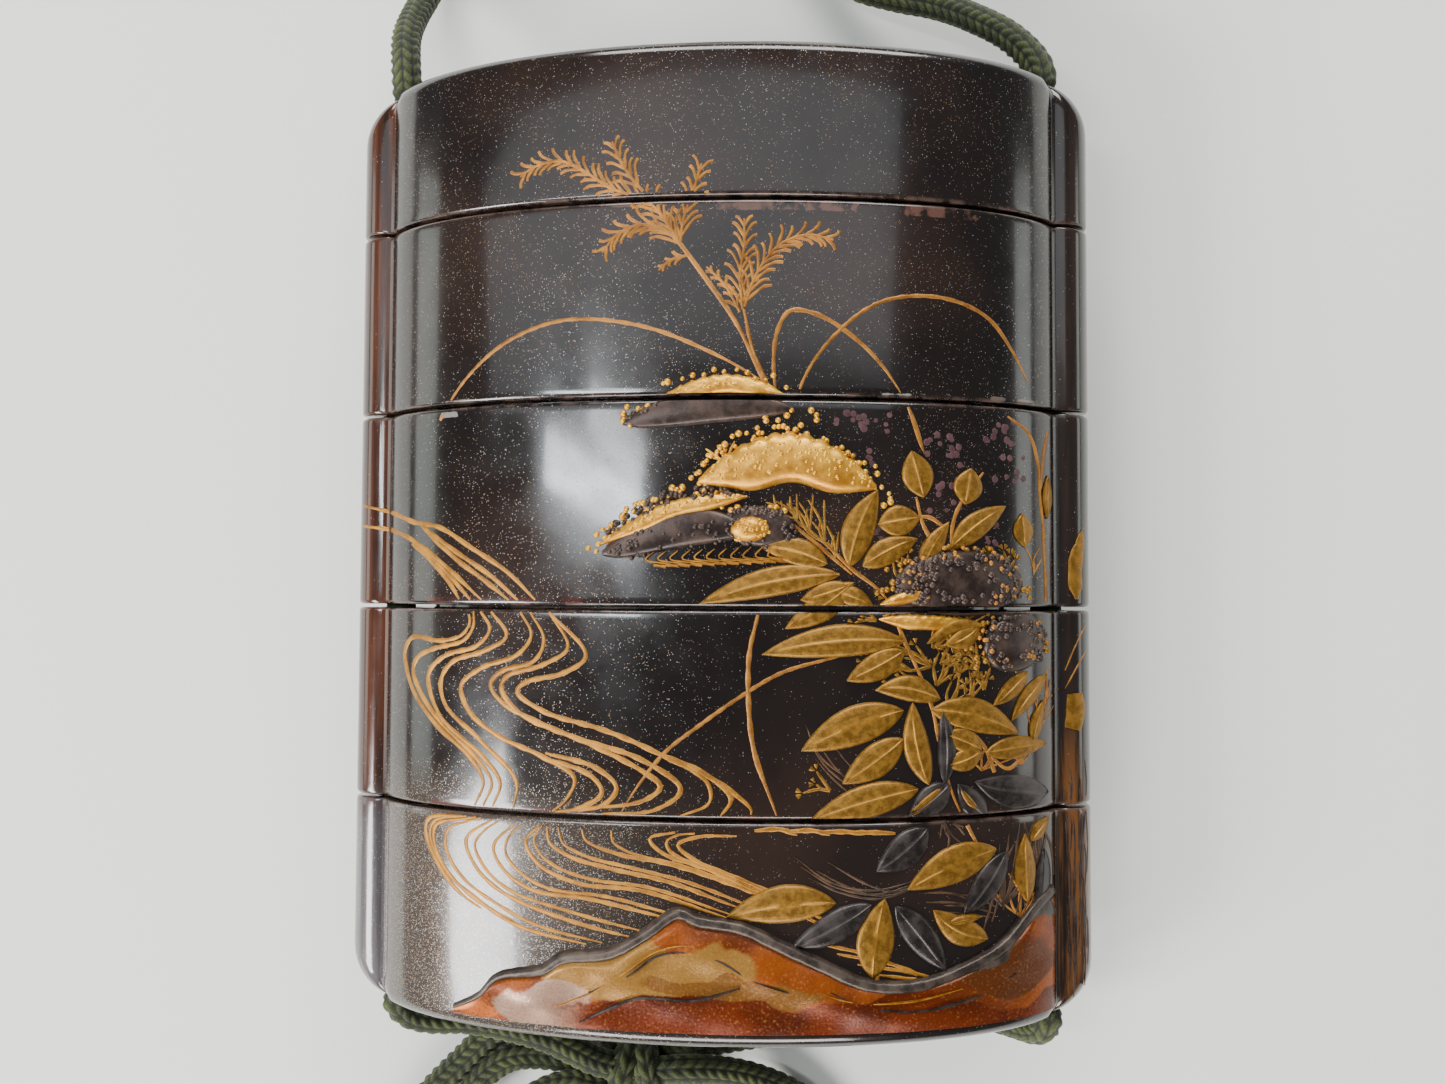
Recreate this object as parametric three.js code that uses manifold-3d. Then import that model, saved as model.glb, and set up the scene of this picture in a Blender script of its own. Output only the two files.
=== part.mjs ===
// A five-part lacquer inro that lies on its back with its braided cord.
// Millimetres. X runs across the case, Y from the base to the lid, Z out of the front face.
// The origin lies under the middle of the case, on the surface that it rests on.
import * as THREE from 'three';
import { mergeVertices } from 'three/addons/utils/BufferGeometryUtils.js';
import Module from 'manifold-3d';

const wasm = await Module();
wasm.setup();

// Outside of the case
const CASE_WIDTH = 60;
const CASE_DEPTH = 22.4;
const BAND_WIDTH = 3.4;
const BAND_RADIUS = 2.56;
const FACE_EDGE_HEIGHT = 3;
const GROOVE_WIDTH = 0.75;
const GROOVE_DEPTH = 0.3;
const REST_FLAT_DEPTH = 0.12;
const RIM_ROUND = 1.2;
const SHOULDER_ROUND = 4;
const END_DROP_AT_SIDES = 0.65;
const END_DROP_AT_FACE = 0.25;
const SEAM_CHAMFER = 0.2;

// Heights of the tiers, from the base up
const BASE_HEIGHT = 16.8;
const CASE_3_HEIGHT = 15.5;
const CASE_2_HEIGHT = 15.6;
const CASE_1_HEIGHT = 15;
const LID_HEIGHT = 12.4;
const SEAM_GAP = 0.3;

// Compartments and the rims that join the tiers
const WALL_THICKNESS = 2.4;
const PARTITION_THICKNESS = 2.5;
const COMPARTMENT_POWER = 2.5;
const FLOOR_THICKNESS = 1.8;
const LID_TOP_THICKNESS = 2.4;
const RIM_HEIGHT = 3;
const RIM_WALL = 0.9;
const RIM_CLEARANCE = 0.3;

// Cord and the channels that it runs in
const CORD_DIAMETER = 2.5;
const CHANNEL_CLEARANCE = 0.45;
const CHANNEL_INSET = 3.4;
const CORD_END_GAP = 0.3;
const CORD_MOUTH_DEPTH = 0.75;
const CORD_SIDES = 8;
const CORD_STEP = 2.4;
const KNOT_SIZE = new THREE.Vector3(5.6, 5.4, 6);
const KNOT_CENTRE = new THREE.Vector3(-7.3, -46.2, 3.2);
const KNOT_CHAMFER = 1.2;

// Raised ornament on the front
const LEAF_HEIGHT = 0.4;
const FLOWER_HEIGHT = 0.7;
const ROCK_HEIGHT = 0.7;
const PAD_EDGE = 0.12;
const PAD_ROOT = 0.7;
const LEAF_STEPS = 5;
const LEAF_BULGE_POWER = 0.85;
const MOUND_STEPS = 7;

// Faceting
const FACE_STEPS = 20;
const BAND_STEPS = 6;
const ROUND_STEPS = 3;
const DOME_SCALES = [0.72, 0.36];
const COMPARTMENT_STEPS = 32;
const CHANNEL_SIDES = 12;

const CASE_HEIGHT = BASE_HEIGHT + CASE_3_HEIGHT + CASE_2_HEIGHT + CASE_1_HEIGHT + LID_HEIGHT;
const BASE_Y = -CASE_HEIGHT / 2;
const TOP_Y = CASE_HEIGHT / 2;
const SEAM_4_Y = BASE_Y + BASE_HEIGHT;
const SEAM_3_Y = SEAM_4_Y + CASE_3_HEIGHT;
const SEAM_2_Y = SEAM_3_Y + CASE_2_HEIGHT;
const SEAM_1_Y = SEAM_2_Y + CASE_1_HEIGHT;
const HALF_DEPTH = CASE_DEPTH / 2;
const MID_Z = HALF_DEPTH - REST_FLAT_DEPTH;
const BAND_CENTRE_X = CASE_WIDTH / 2 - BAND_RADIUS;
const FACE_EDGE_X = CASE_WIDTH / 2 - BAND_WIDTH;
const FACE_HALF_WIDTH = FACE_EDGE_X / Math.sqrt(1 - (FACE_EDGE_HEIGHT / HALF_DEPTH) ** 2);
const BAND_START_X = FACE_EDGE_X + GROOVE_WIDTH;
const CHANNEL_X = CASE_WIDTH / 2 - CHANNEL_INSET;
const CHANNEL_RADIUS = CORD_DIAMETER / 2 + CHANNEL_CLEARANCE;
const COMPARTMENT_HALF_WIDTH = CHANNEL_X - CHANNEL_RADIUS - PARTITION_THICKNESS;
const COMPARTMENT_HALF_DEPTH = HALF_DEPTH - WALL_THICKNESS;
const RUN_TOP_Y = TOP_Y - CORD_MOUTH_DEPTH;
const RUN_BOTTOM_Y = BASE_Y + CORD_MOUTH_DEPTH;

const lacquer = new THREE.MeshStandardMaterial({ color: 0x241a17, roughness: 0.28, metalness: 0.1 });
const lidLacquer = new THREE.MeshStandardMaterial({ color: 0x2c201b, roughness: 0.28, metalness: 0.1 });
const baseLacquer = new THREE.MeshStandardMaterial({ color: 0x33211a, roughness: 0.3, metalness: 0.1 });
const cordSilk = new THREE.MeshStandardMaterial({ color: 0x3f4a22, roughness: 0.85, metalness: 0 });

// Solids from triangle lists, lofts and three.js geometries
function toSolid(geometry) {
  const bare = geometry.index ? geometry.clone() : geometry;
  bare.deleteAttribute('normal');
  bare.deleteAttribute('uv');
  const merged = mergeVertices(bare, 1e-4);
  return new wasm.Manifold(new wasm.Mesh({
    numProp: 3,
    vertProperties: new Float32Array(merged.attributes.position.array),
    triVerts: new Uint32Array(merged.index.array),
  }));
}

function signedVolume(points, faces) {
  let sum = 0;
  for (const [a, b, c] of faces) {
    sum += points[a].dot(points[b].clone().cross(points[c]));
  }
  return sum;
}

function meshSolid(points, faces) {
  const outward = signedVolume(points, faces) > 0;
  const geometry = new THREE.BufferGeometry();
  const flat = points.flatMap((point) => [point.x, point.y, point.z]);
  geometry.setAttribute('position', new THREE.Float32BufferAttribute(flat, 3));
  geometry.setIndex(faces.flatMap(([a, b, c]) => (outward ? [a, b, c] : [a, c, b])));
  return toSolid(geometry);
}

// A closed loft through rings of equal length; flatten gives a ring's point in the plane of its cap
function loft(rings, flatten) {
  const count = rings[0].length;
  const points = rings.flat();
  const faces = [];
  for (let ring = 0; ring + 1 < rings.length; ring += 1) {
    for (let i = 0; i < count; i += 1) {
      const next = (i + 1) % count;
      const low = ring * count;
      const high = low + count;
      faces.push([low + i, low + next, high + next]);
      faces.push([low + i, high + next, high + i]);
    }
  }
  const last = (rings.length - 1) * count;
  const clockwise = THREE.ShapeUtils.isClockWise(rings[0].map(flatten));
  const cap = (ring) => THREE.ShapeUtils.triangulateShape(ring.map(flatten), []);
  for (const [a, b, c] of cap(rings[0])) {
    faces.push(clockwise ? [a, b, c] : [a, c, b]);
  }
  for (const [a, b, c] of cap(rings[rings.length - 1])) {
    faces.push(clockwise ? [last + a, last + c, last + b] : [last + a, last + b, last + c]);
  }
  return meshSolid(points, faces);
}

const inPlanXZ = (point) => new THREE.Vector2(point.x, point.z);
const inPlanXY = (point) => new THREE.Vector2(point.x, point.y);

function box(low, high) {
  const size = high.clone().sub(low);
  const geometry = new THREE.BoxGeometry(size.x, size.y, size.z);
  geometry.translate((low.x + high.x) / 2, (low.y + high.y) / 2, (low.z + high.z) / 2);
  return toSolid(geometry);
}

// Outline of the case across its length: an oval front and back, a groove and a rounded side band
function faceOffset(x) {
  return HALF_DEPTH * Math.sqrt(Math.max(0, 1 - (x / FACE_HALF_WIDTH) ** 2));
}

function frontHeight(x) {
  return MID_Z + faceOffset(x);
}

function bandArc() {
  const start = Math.acos((BAND_START_X - BAND_CENTRE_X) / BAND_RADIUS);
  const points = [];
  for (let i = 0; i <= BAND_STEPS; i += 1) {
    const angle = start * (1 - 2 * i / BAND_STEPS);
    points.push([BAND_CENTRE_X + BAND_RADIUS * Math.cos(angle), BAND_RADIUS * Math.sin(angle)]);
  }
  return points;
}

function sectionOutline() {
  const edgeAngle = Math.acos(FACE_EDGE_X / FACE_HALF_WIDTH);
  const front = [];
  for (let i = 0; i <= FACE_STEPS; i += 1) {
    const angle = edgeAngle + (Math.PI - 2 * edgeAngle) * i / FACE_STEPS;
    front.push([FACE_HALF_WIDTH * Math.cos(angle), HALF_DEPTH * Math.sin(angle)]);
  }
  const grooveX = FACE_EDGE_X + GROOVE_WIDTH / 4;
  const grooveZ = faceOffset(FACE_EDGE_X) - GROOVE_DEPTH;
  const band = bandArc();
  const left = band.map(([x, z]) => [-x, z]);
  const back = front.map(([x, z]) => [-x, -z]);
  const right = band.map(([x, z]) => [x, -z]);
  return [
    ...front, [-grooveX, grooveZ], ...left, [-grooveX, -grooveZ],
    ...back, [grooveX, -grooveZ], ...right, [grooveX, grooveZ],
  ];
}

const SECTION = sectionOutline();

// The ends are slightly domed, so they lie lower away from their middle
function endDrop(x, z) {
  return END_DROP_AT_SIDES * (2 * x / CASE_WIDTH) ** 2 + END_DROP_AT_FACE * (z / HALF_DEPTH) ** 2;
}

function ringAt(y, shrink) {
  return SECTION.map(([x, z]) => {
    const length = Math.hypot(x / CASE_WIDTH, z / CASE_DEPTH);
    const nx = x / CASE_WIDTH / length;
    const nz = z / CASE_DEPTH / length;
    return new THREE.Vector3(x - shrink * nx, y, MID_Z + z - shrink * nz);
  });
}

// One ring of a rounded end: turn 0 is where the rounding starts and 1 is on the end face
function endRing(endY, direction, turn) {
  const angle = turn * Math.PI / 2;
  return SECTION.map(([x, z]) => {
    const beyond = Math.max(0, Math.abs(x) - (CASE_WIDTH / 2 - SHOULDER_ROUND));
    const share = beyond / SHOULDER_ROUND;
    const round = RIM_ROUND + (SHOULDER_ROUND - RIM_ROUND) * share;
    const slope = Math.min(1, Math.abs(z) / (2 * RIM_ROUND));
    const inX = x - Math.sign(x) * beyond * (1 - Math.cos(angle));
    const inZ = z - Math.sign(z) * RIM_ROUND * slope * (1 - Math.cos(angle));
    const drop = endDrop(inX, inZ) + round * (1 - Math.sin(angle));
    return new THREE.Vector3(inX, endY - direction * drop, MID_Z + inZ);
  });
}

function endRings(endY, direction) {
  const rings = [];
  for (let i = 0; i <= ROUND_STEPS; i += 1) {
    rings.push(endRing(endY, direction, i / ROUND_STEPS));
  }
  const edge = rings[rings.length - 1];
  for (const scale of DOME_SCALES) {
    rings.push(edge.map((point) => {
      const x = point.x * scale;
      const z = (point.z - MID_Z) * scale;
      return new THREE.Vector3(x, endY - direction * endDrop(x, z), MID_Z + z);
    }));
  }
  return rings;
}

function flatEnd(y, direction) {
  return [ringAt(y - direction * SEAM_CHAMFER, 0), ringAt(y, SEAM_CHAMFER)];
}

function outerBody(lowRings, highRings) {
  const body = loft([...lowRings.reverse(), ...highRings], inPlanXZ);
  const reach = CASE_WIDTH;
  return body.subtract(box(new THREE.Vector3(-reach, -reach, -reach), new THREE.Vector3(reach, reach, 0)));
}

// Compartments, rims and recesses share one oval, grown outwards by the named walls
function oval(y, grow) {
  const halfWidth = COMPARTMENT_HALF_WIDTH + grow;
  const halfDepth = COMPARTMENT_HALF_DEPTH + grow;
  const ring = [];
  for (let i = 0; i < COMPARTMENT_STEPS; i += 1) {
    const angle = 2 * Math.PI * i / COMPARTMENT_STEPS;
    const cos = Math.cos(angle);
    const sin = Math.sin(angle);
    const power = 2 / COMPARTMENT_POWER;
    const x = halfWidth * Math.sign(cos) * Math.abs(cos) ** power;
    const z = halfDepth * Math.sign(sin) * Math.abs(sin) ** power;
    ring.push(new THREE.Vector3(x, y, MID_Z + z));
  }
  return ring;
}

function ovalBlock(lowY, highY, grow) {
  return loft([oval(lowY, grow), oval(highY, grow)], inPlanXZ);
}

function channels() {
  return [-CHANNEL_X, CHANNEL_X].map((x) => {
    const length = 2 * CASE_HEIGHT;
    const geometry = new THREE.CylinderGeometry(CHANNEL_RADIUS, CHANNEL_RADIUS, length, CHANNEL_SIDES);
    geometry.translate(x, 0, MID_Z);
    return toSolid(geometry);
  });
}

function withRim(body, topY) {
  return body.add(ovalBlock(topY - FLOOR_THICKNESS, topY + RIM_HEIGHT, RIM_WALL));
}

function withCompartment(body, floorY, mouthY) {
  return body.subtract(ovalBlock(floorY, mouthY, 0));
}

function withRecess(body, bottomY) {
  const depth = RIM_HEIGHT + SEAM_GAP + RIM_CLEARANCE;
  return body.subtract(ovalBlock(bottomY - depth, bottomY + depth, RIM_WALL + RIM_CLEARANCE));
}

function withChannels(body) {
  return channels().reduce((solid, channel) => solid.subtract(channel), body);
}

function recessTop(bottomY) {
  return bottomY + RIM_HEIGHT + SEAM_GAP + RIM_CLEARANCE;
}

// Ornament: leaves, flower heads and rocks as low pads that follow the curve of the front
// Places are in percent of the case's width and height, from its middle; sizes are in millimetres
// Each leaf is its tip x and y, its base x and y and its width
const LEAVES = [
  [20.8, 4.6, 17.3, -2.9, 2.1],
  [25.8, -0.1, 19, -2.9, 1.7],
  [37.3, 3.3, 30, -1.1, 1.7],
  [6.5, -1.1, 14.7, -2.7, 1.8],
  [-1, -6.6, 16.2, -3.7, 1.9],
  [25.8, 8.6, 25.8, 3.9, 2.4],
  [32.3, 6.9, 32, 3.2, 2.3],
  [20.8, 1.7, 26.5, 1.9, 2.4],
  [39.8, 2.7, 39.8, -0.8, 1.8],
  [6.7, -11.6, 24.2, -10.2, 2.1],
  [17, -14.1, 24.2, -11.2, 1.8],
  [20.5, -15, 28.7, -15.9, 1.7],
  [11.5, -20.8, 24, -17, 2.5],
  [39, -19.7, 27.5, -17, 2.2],
  [25.2, -16.2, 27.3, -24.2, 2.3],
  [16.5, -24, 24, -19.8, 2.1],
  [12.8, -26.8, 25.7, -24.2, 2.4],
  [43.3, -25.6, 33, -24.2, 2.3],
  [43.2, -20.8, 34.5, -21.4, 1.5],
  [2.5, -36.8, 15.7, -35.5, 2.4],
  [10.3, -39.7, 20, -35.7, 2.2],
  [21.7, -35.2, 20.2, -43.3, 2.4],
  [29.3, -42.5, 23, -36, 2],
  [24.5, -34.4, 35.8, -30.9, 2.4],
  [39.8, -29.7, 40.2, -36.7, 1.6],
  [20.7, -32.5, 27, -28.6, 2.6],
  [27.7, -36.5, 34.7, -39.7, 2],
];

// Each flower head is its middle x and y, half width, rise above and sag below its middle, and tilt
const FLOWERS = [
  [0.5, 12.7, 6.2, 1.5, 1.3, 6],
  [10, 5.2, 6.7, 3.6, 0.3, -3],
  [-4.7, 0.1, 5.8, 2.1, 1.3, 20],
  [31.3, -6.5, 5.9, 4.1, 0.3, 0],
  [38.3, -11.2, 2.9, 2.6, 2.8, 0],
];

// The crest of the rocks along the base, from left to right, and the foot that it falls to
const ROCK_CREST = [
  [-32.3, -47.3], [-27.3, -45], [-19, -42], [-11.8, -40.5], [-3.7, -36.8], [4.2, -37.8],
  [14, -41.4], [22.5, -43.7], [32.2, -42], [38.7, -38.8], [42.7, -36.4],
];
const ROCK_FOOT_RISE = 1.45;
const ROCK_SLOPE = 1;
const ROCK_LEAST = 0.2;

function padRing(outline, height) {
  return outline.map(([x, y]) => new THREE.Vector3(x, y, frontHeight(x) + height));
}

function pad(outline, crest, height) {
  const rings = [padRing(outline, -PAD_ROOT), padRing(outline, PAD_EDGE), padRing(crest, height)];
  return loft(rings, inPlanXY);
}

function placeX(percent) {
  return CASE_WIDTH * percent / 100;
}

function placeY(percent) {
  return CASE_HEIGHT * percent / 100;
}

function leafOutline([tipXShare, tipYShare, baseXShare, baseYShare, width], along, across) {
  const tipX = placeX(tipXShare);
  const tipY = placeY(tipYShare);
  const baseX = placeX(baseXShare);
  const baseY = placeY(baseYShare);
  const axis = new THREE.Vector2(tipX - baseX, tipY - baseY);
  const side = new THREE.Vector2(-axis.y, axis.x).normalize().multiplyScalar(across * width / 2);
  const outline = [];
  for (const turn of [1, -1]) {
    for (let i = 0; i < LEAF_STEPS; i += 1) {
      const step = turn > 0 ? i : LEAF_STEPS - i;
      const share = (1 - along) / 2 + along * step / LEAF_STEPS;
      const bulge = turn * Math.sin(Math.PI * (step / LEAF_STEPS) ** LEAF_BULGE_POWER);
      outline.push([
        baseX + axis.x * share + side.x * bulge,
        baseY + axis.y * share + side.y * bulge,
      ]);
    }
  }
  return outline;
}

function moundOutline([xShare, yShare, halfWidth, rise, sag, tilt], scale) {
  const x = placeX(xShare);
  const y = placeY(yShare);
  const angle = THREE.MathUtils.degToRad(tilt);
  const outline = [];
  for (let i = 0; i < 2 * MOUND_STEPS; i += 1) {
    const turn = Math.PI * i / MOUND_STEPS;
    const along = scale * halfWidth * Math.cos(turn);
    const up = scale * Math.sin(turn) * (Math.sin(turn) > 0 ? rise : sag) + (1 - scale) * (rise - sag) / 2;
    outline.push([
      x + along * Math.cos(angle) - up * Math.sin(angle),
      y + along * Math.sin(angle) + up * Math.cos(angle),
    ]);
  }
  return outline;
}

function rockOutline(lower) {
  const footY = BASE_Y + ROCK_FOOT_RISE;
  const crest = ROCK_CREST.map(([x, y]) => [placeX(x), Math.max(placeY(y) - lower, footY + ROCK_LEAST)]);
  const foot = ROCK_CREST.map(([x]) => [placeX(x), footY]).reverse();
  return [...crest, ...foot];
}

const leafPads = LEAVES.map((leaf) => pad(leafOutline(leaf, 1, 1), leafOutline(leaf, 0.8, 0.3), LEAF_HEIGHT));
const flowerPads = FLOWERS.map((flower) => {
  return pad(moundOutline(flower, 1), moundOutline(flower, 0.6), FLOWER_HEIGHT);
});
const rockPad = pad(rockOutline(0), rockOutline(ROCK_SLOPE), ROCK_HEIGHT);
const ornament = [...leafPads, ...flowerPads, rockPad];

function withOrnament(body, lowY, highY) {
  const reach = CASE_WIDTH;
  const slab = box(new THREE.Vector3(-reach, lowY, MID_Z), new THREE.Vector3(reach, highY, 2 * CASE_DEPTH));
  const onTier = ornament.map((relief) => relief.intersect(slab)).filter((relief) => !relief.isEmpty());
  return onTier.reduce((solid, relief) => solid.add(relief), body);
}

// The five tiers
function seamTop(seamY) {
  return seamY - SEAM_GAP / 2;
}

function seamBottom(seamY) {
  return seamY + SEAM_GAP / 2;
}

function lid() {
  const bottom = seamBottom(SEAM_1_Y);
  const body = outerBody(flatEnd(bottom, -1), endRings(TOP_Y, 1));
  const hollow = withRecess(withCompartment(body, bottom - RIM_HEIGHT, TOP_Y - LID_TOP_THICKNESS), bottom);
  return withChannels(hollow);
}

function middleCase(lowSeam, highSeam) {
  const bottom = seamBottom(lowSeam);
  const top = seamTop(highSeam);
  const body = withRim(outerBody(flatEnd(bottom, -1), flatEnd(top, 1)), top);
  const floorY = recessTop(bottom) + FLOOR_THICKNESS;
  const hollow = withRecess(withCompartment(body, floorY, top + 2 * RIM_HEIGHT), bottom);
  return withOrnament(withChannels(hollow), bottom, top);
}

function baseCase() {
  const top = seamTop(SEAM_4_Y);
  const body = withRim(outerBody(endRings(BASE_Y, -1), flatEnd(top, 1)), top);
  const floorY = BASE_Y + END_DROP_AT_SIDES + END_DROP_AT_FACE + FLOOR_THICKNESS;
  const hollow = withCompartment(body, floorY, top + 2 * RIM_HEIGHT);
  return withOrnament(withChannels(hollow), BASE_Y, top);
}

// Cords: a plain tube of a few flat sides along a route of chosen points
function cordTube(route) {
  const curve = new THREE.CatmullRomCurve3(route.map(([x, y, z]) => new THREE.Vector3(x, y, z)));
  const section = new THREE.Shape();
  for (let i = 0; i < CORD_SIDES; i += 1) {
    const angle = 2 * Math.PI * i / CORD_SIDES;
    const point = [CORD_DIAMETER / 2 * Math.cos(angle), CORD_DIAMETER / 2 * Math.sin(angle)];
    if (i === 0) {
      section.moveTo(...point);
    } else {
      section.lineTo(...point);
    }
  }
  section.closePath();
  const steps = Math.ceil(curve.getLength() / (CORD_STEP * CORD_DIAMETER));
  return new THREE.ExtrudeGeometry(section, { steps, extrudePath: curve, curveSegments: 1 });
}

function innerRun(x) {
  const length = RUN_TOP_Y - RUN_BOTTOM_Y;
  const geometry = new THREE.CylinderGeometry(CORD_DIAMETER / 2, CORD_DIAMETER / 2, length, CORD_SIDES);
  geometry.translate(x, (RUN_TOP_Y + RUN_BOTTOM_Y) / 2, MID_Z);
  return geometry;
}

const TOP_EXIT_Y = RUN_TOP_Y + CORD_END_GAP;
const BOTTOM_EXIT_Y = RUN_BOTTOM_Y - CORD_END_GAP;

const TOP_LOOP = [
  [-CHANNEL_X, TOP_EXIT_Y, MID_Z],
  [-26.9, 40.5, 10.9],
  [-27.4, 43.6, 9.4],
  [-27.6, 46.6, 6.9],
  [-27.3, 49.8, 4.3],
  [-26.6, 53.4, 2.2],
  [-25, 57.8, 1.4],
  [-21.5, 63.5, 1.3],
  [-16.5, 69.3, 1.3],
  [-11.5, 75, 1.3],
  [-7.9, 81.5, 1.3],
  [-6.6, 88.5, 1.3],
  [-7, 96, 1.3],
  [-8.4, 104, 1.3],
  [-9.2, 112, 1.3],
  [-8.2, 119.5, 1.3],
  [-4, 125, 1.3],
  [1.6, 126, 1.3],
  [6, 122.6, 1.3],
  [7.4, 116.4, 1.3],
  [5.6, 109, 1.3],
  [2, 101.6, 1.3],
  [-1.6, 94.4, 1.3],
  [-3.2, 87, 1.3],
  [-3.4, 79.6, 1.3],
  [-2, 72.4, 1.3],
  [0.4, 65.6, 1.3],
  [3.6, 59.4, 1.3],
  [7.4, 54.6, 1.4],
  [11.2, 51, 2.2],
  [15.2, 48.9, 3.7],
  [18.4, 47.4, 5.3],
  [21.2, 45.4, 7.2],
  [24.4, 42.4, 9.4],
  [26.3, 39.3, 10.8],
  [CHANNEL_X, TOP_EXIT_Y, MID_Z],
];

const STRAND_LEFT = [
  [-CHANNEL_X, BOTTOM_EXIT_Y, MID_Z],
  [-26.35, -38.4, 10.8],
  [-25.5, -39.4, 10.2],
  [-23.9, -40, 9.4],
  [-21.4, -40.3, 8.4],
  [-18.2, -41.2, 7.3],
  [-14.8, -42.5, 6.2],
  [-12.8, -43.7, 5.5],
  [-10.9, -44.8, 4.9],
];

const STRAND_RIGHT = [
  [CHANNEL_X, BOTTOM_EXIT_Y, MID_Z],
  [26.5, -38.3, 10.9],
  [26.3, -39.1, 10.2],
  [25.6, -39.6, 9],
  [24.3, -39.7, 7.4],
  [22.3, -39.7, 5.7],
  [19, -39.9, 4],
  [14.4, -40.5, 2.7],
  [9, -41.7, 1.9],
  [3, -43.2, 1.6],
  [-3.6, -44.4, 1.6],
];

const BOW_LEFT = [
  [-10.9, -44, 1.5],
  [-13.6, -42.8, 1.4],
  [-17, -42, 1.4],
  [-20.2, -43.2, 1.4],
  [-23.4, -46.2, 1.4],
  [-27, -50, 1.4],
  [-29.6, -54.4, 1.4],
  [-30.4, -59.2, 1.4],
  [-28.2, -63.4, 1.4],
  [-23.8, -64.4, 1.4],
  [-21, -61.2, 1.4],
  [-21.8, -56.8, 1.4],
  [-23.6, -53, 1.4],
  [-22.8, -49.2, 1.4],
  [-19.6, -46.2, 1.4],
  [-15.4, -45.8, 1.4],
  [-10.8, -46.9, 1.4],
];

const BOW_RIGHT = [
  [-3.6, -45.4, 4.7],
  [-0.8, -45.7, 3.8],
  [3, -46.8, 2.5],
  [7, -49, 1.5],
  [10.4, -52.6, 1.3],
  [11.8, -57.2, 1.3],
  [10, -61.8, 1.3],
  [5.4, -63.6, 1.3],
  [1.4, -61, 1.3],
  [0.4, -56.4, 1.3],
  [0.2, -52.2, 1.3],
  [-1.4, -49.2, 1.3],
  [-3.6, -47.9, 1.4],
];

const END_LEFT = [
  [-11, -47.3, 4.7],
  [-12.8, -47.1, 4.3],
  [-14.9, -47.6, 4.1],
  [-17, -48.8, 3.9],
  [-18.6, -50.8, 2.6],
  [-18.8, -53.6, 1.5],
  [-17.6, -57.2, 1.3],
  [-15.6, -60.8, 1.3],
  [-12.8, -64, 1.3],
];

const END_RIGHT = [
  [-7.9, -49.7, 3.3],
  [-9.4, -51.4, 2],
  [-11.4, -53.6, 1.3],
  [-12.6, -56.6, 1.3],
  [-11.4, -59.8, 1.3],
  [-7.9, -61.8, 1.3],
  [-3.9, -62, 1.3],
];

// The bow's knot is a small wrapped lump, wider than its strands
function knot() {
  const half = KNOT_SIZE.clone().multiplyScalar(0.5);
  const cut = KNOT_CHAMFER;
  const outline = new THREE.Shape();
  outline.moveTo(-half.x + cut, -half.z);
  outline.lineTo(half.x - cut, -half.z);
  outline.lineTo(half.x, -half.z + cut);
  outline.lineTo(half.x, half.z - cut);
  outline.lineTo(half.x - cut, half.z);
  outline.lineTo(-half.x + cut, half.z);
  outline.lineTo(-half.x, half.z - cut);
  outline.lineTo(-half.x, -half.z + cut);
  outline.closePath();
  const geometry = new THREE.ExtrudeGeometry(outline, { depth: KNOT_SIZE.y, bevelEnabled: false });
  geometry.translate(0, 0, -half.y);
  geometry.rotateX(Math.PI / 2);
  return geometry;
}

// Named meshes
function solidMesh(name, solid, material) {
  const mesh = solid.getMesh();
  const geometry = new THREE.BufferGeometry();
  geometry.setAttribute('position', new THREE.BufferAttribute(new Float32Array(mesh.vertProperties), 3));
  geometry.setIndex(new THREE.BufferAttribute(new Uint32Array(mesh.triVerts), 1));
  geometry.computeVertexNormals();
  return namedMesh(name, geometry, material);
}

function namedMesh(name, geometry, material) {
  const mesh = new THREE.Mesh(geometry, material);
  mesh.name = name;
  return mesh;
}

const inro = new THREE.Group();

inro.add(solidMesh('lid', lid(), lidLacquer));
inro.add(solidMesh('case_1', middleCase(SEAM_2_Y, SEAM_1_Y), lacquer));
inro.add(solidMesh('case_2', middleCase(SEAM_3_Y, SEAM_2_Y), lidLacquer));
inro.add(solidMesh('case_3', middleCase(SEAM_4_Y, SEAM_3_Y), lacquer));
inro.add(solidMesh('base_case', baseCase(), baseLacquer));

inro.add(namedMesh('cord_run_left', innerRun(-CHANNEL_X), cordSilk));
inro.add(namedMesh('cord_run_right', innerRun(CHANNEL_X), cordSilk));
inro.add(namedMesh('cord_top_loop', cordTube(TOP_LOOP), cordSilk));
inro.add(namedMesh('cord_strand_left', cordTube(STRAND_LEFT), cordSilk));
inro.add(namedMesh('cord_strand_right', cordTube(STRAND_RIGHT), cordSilk));
inro.add(namedMesh('bow_loop_left', cordTube(BOW_LEFT), cordSilk));
inro.add(namedMesh('bow_loop_right', cordTube(BOW_RIGHT), cordSilk));
inro.add(namedMesh('bow_end_left', cordTube(END_LEFT), cordSilk));
inro.add(namedMesh('bow_end_right', cordTube(END_RIGHT), cordSilk));

const bowKnot = namedMesh('bow_knot', knot(), cordSilk);
bowKnot.position.copy(KNOT_CENTRE);
inro.add(bowKnot);

export default inro;
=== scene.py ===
import math

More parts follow.
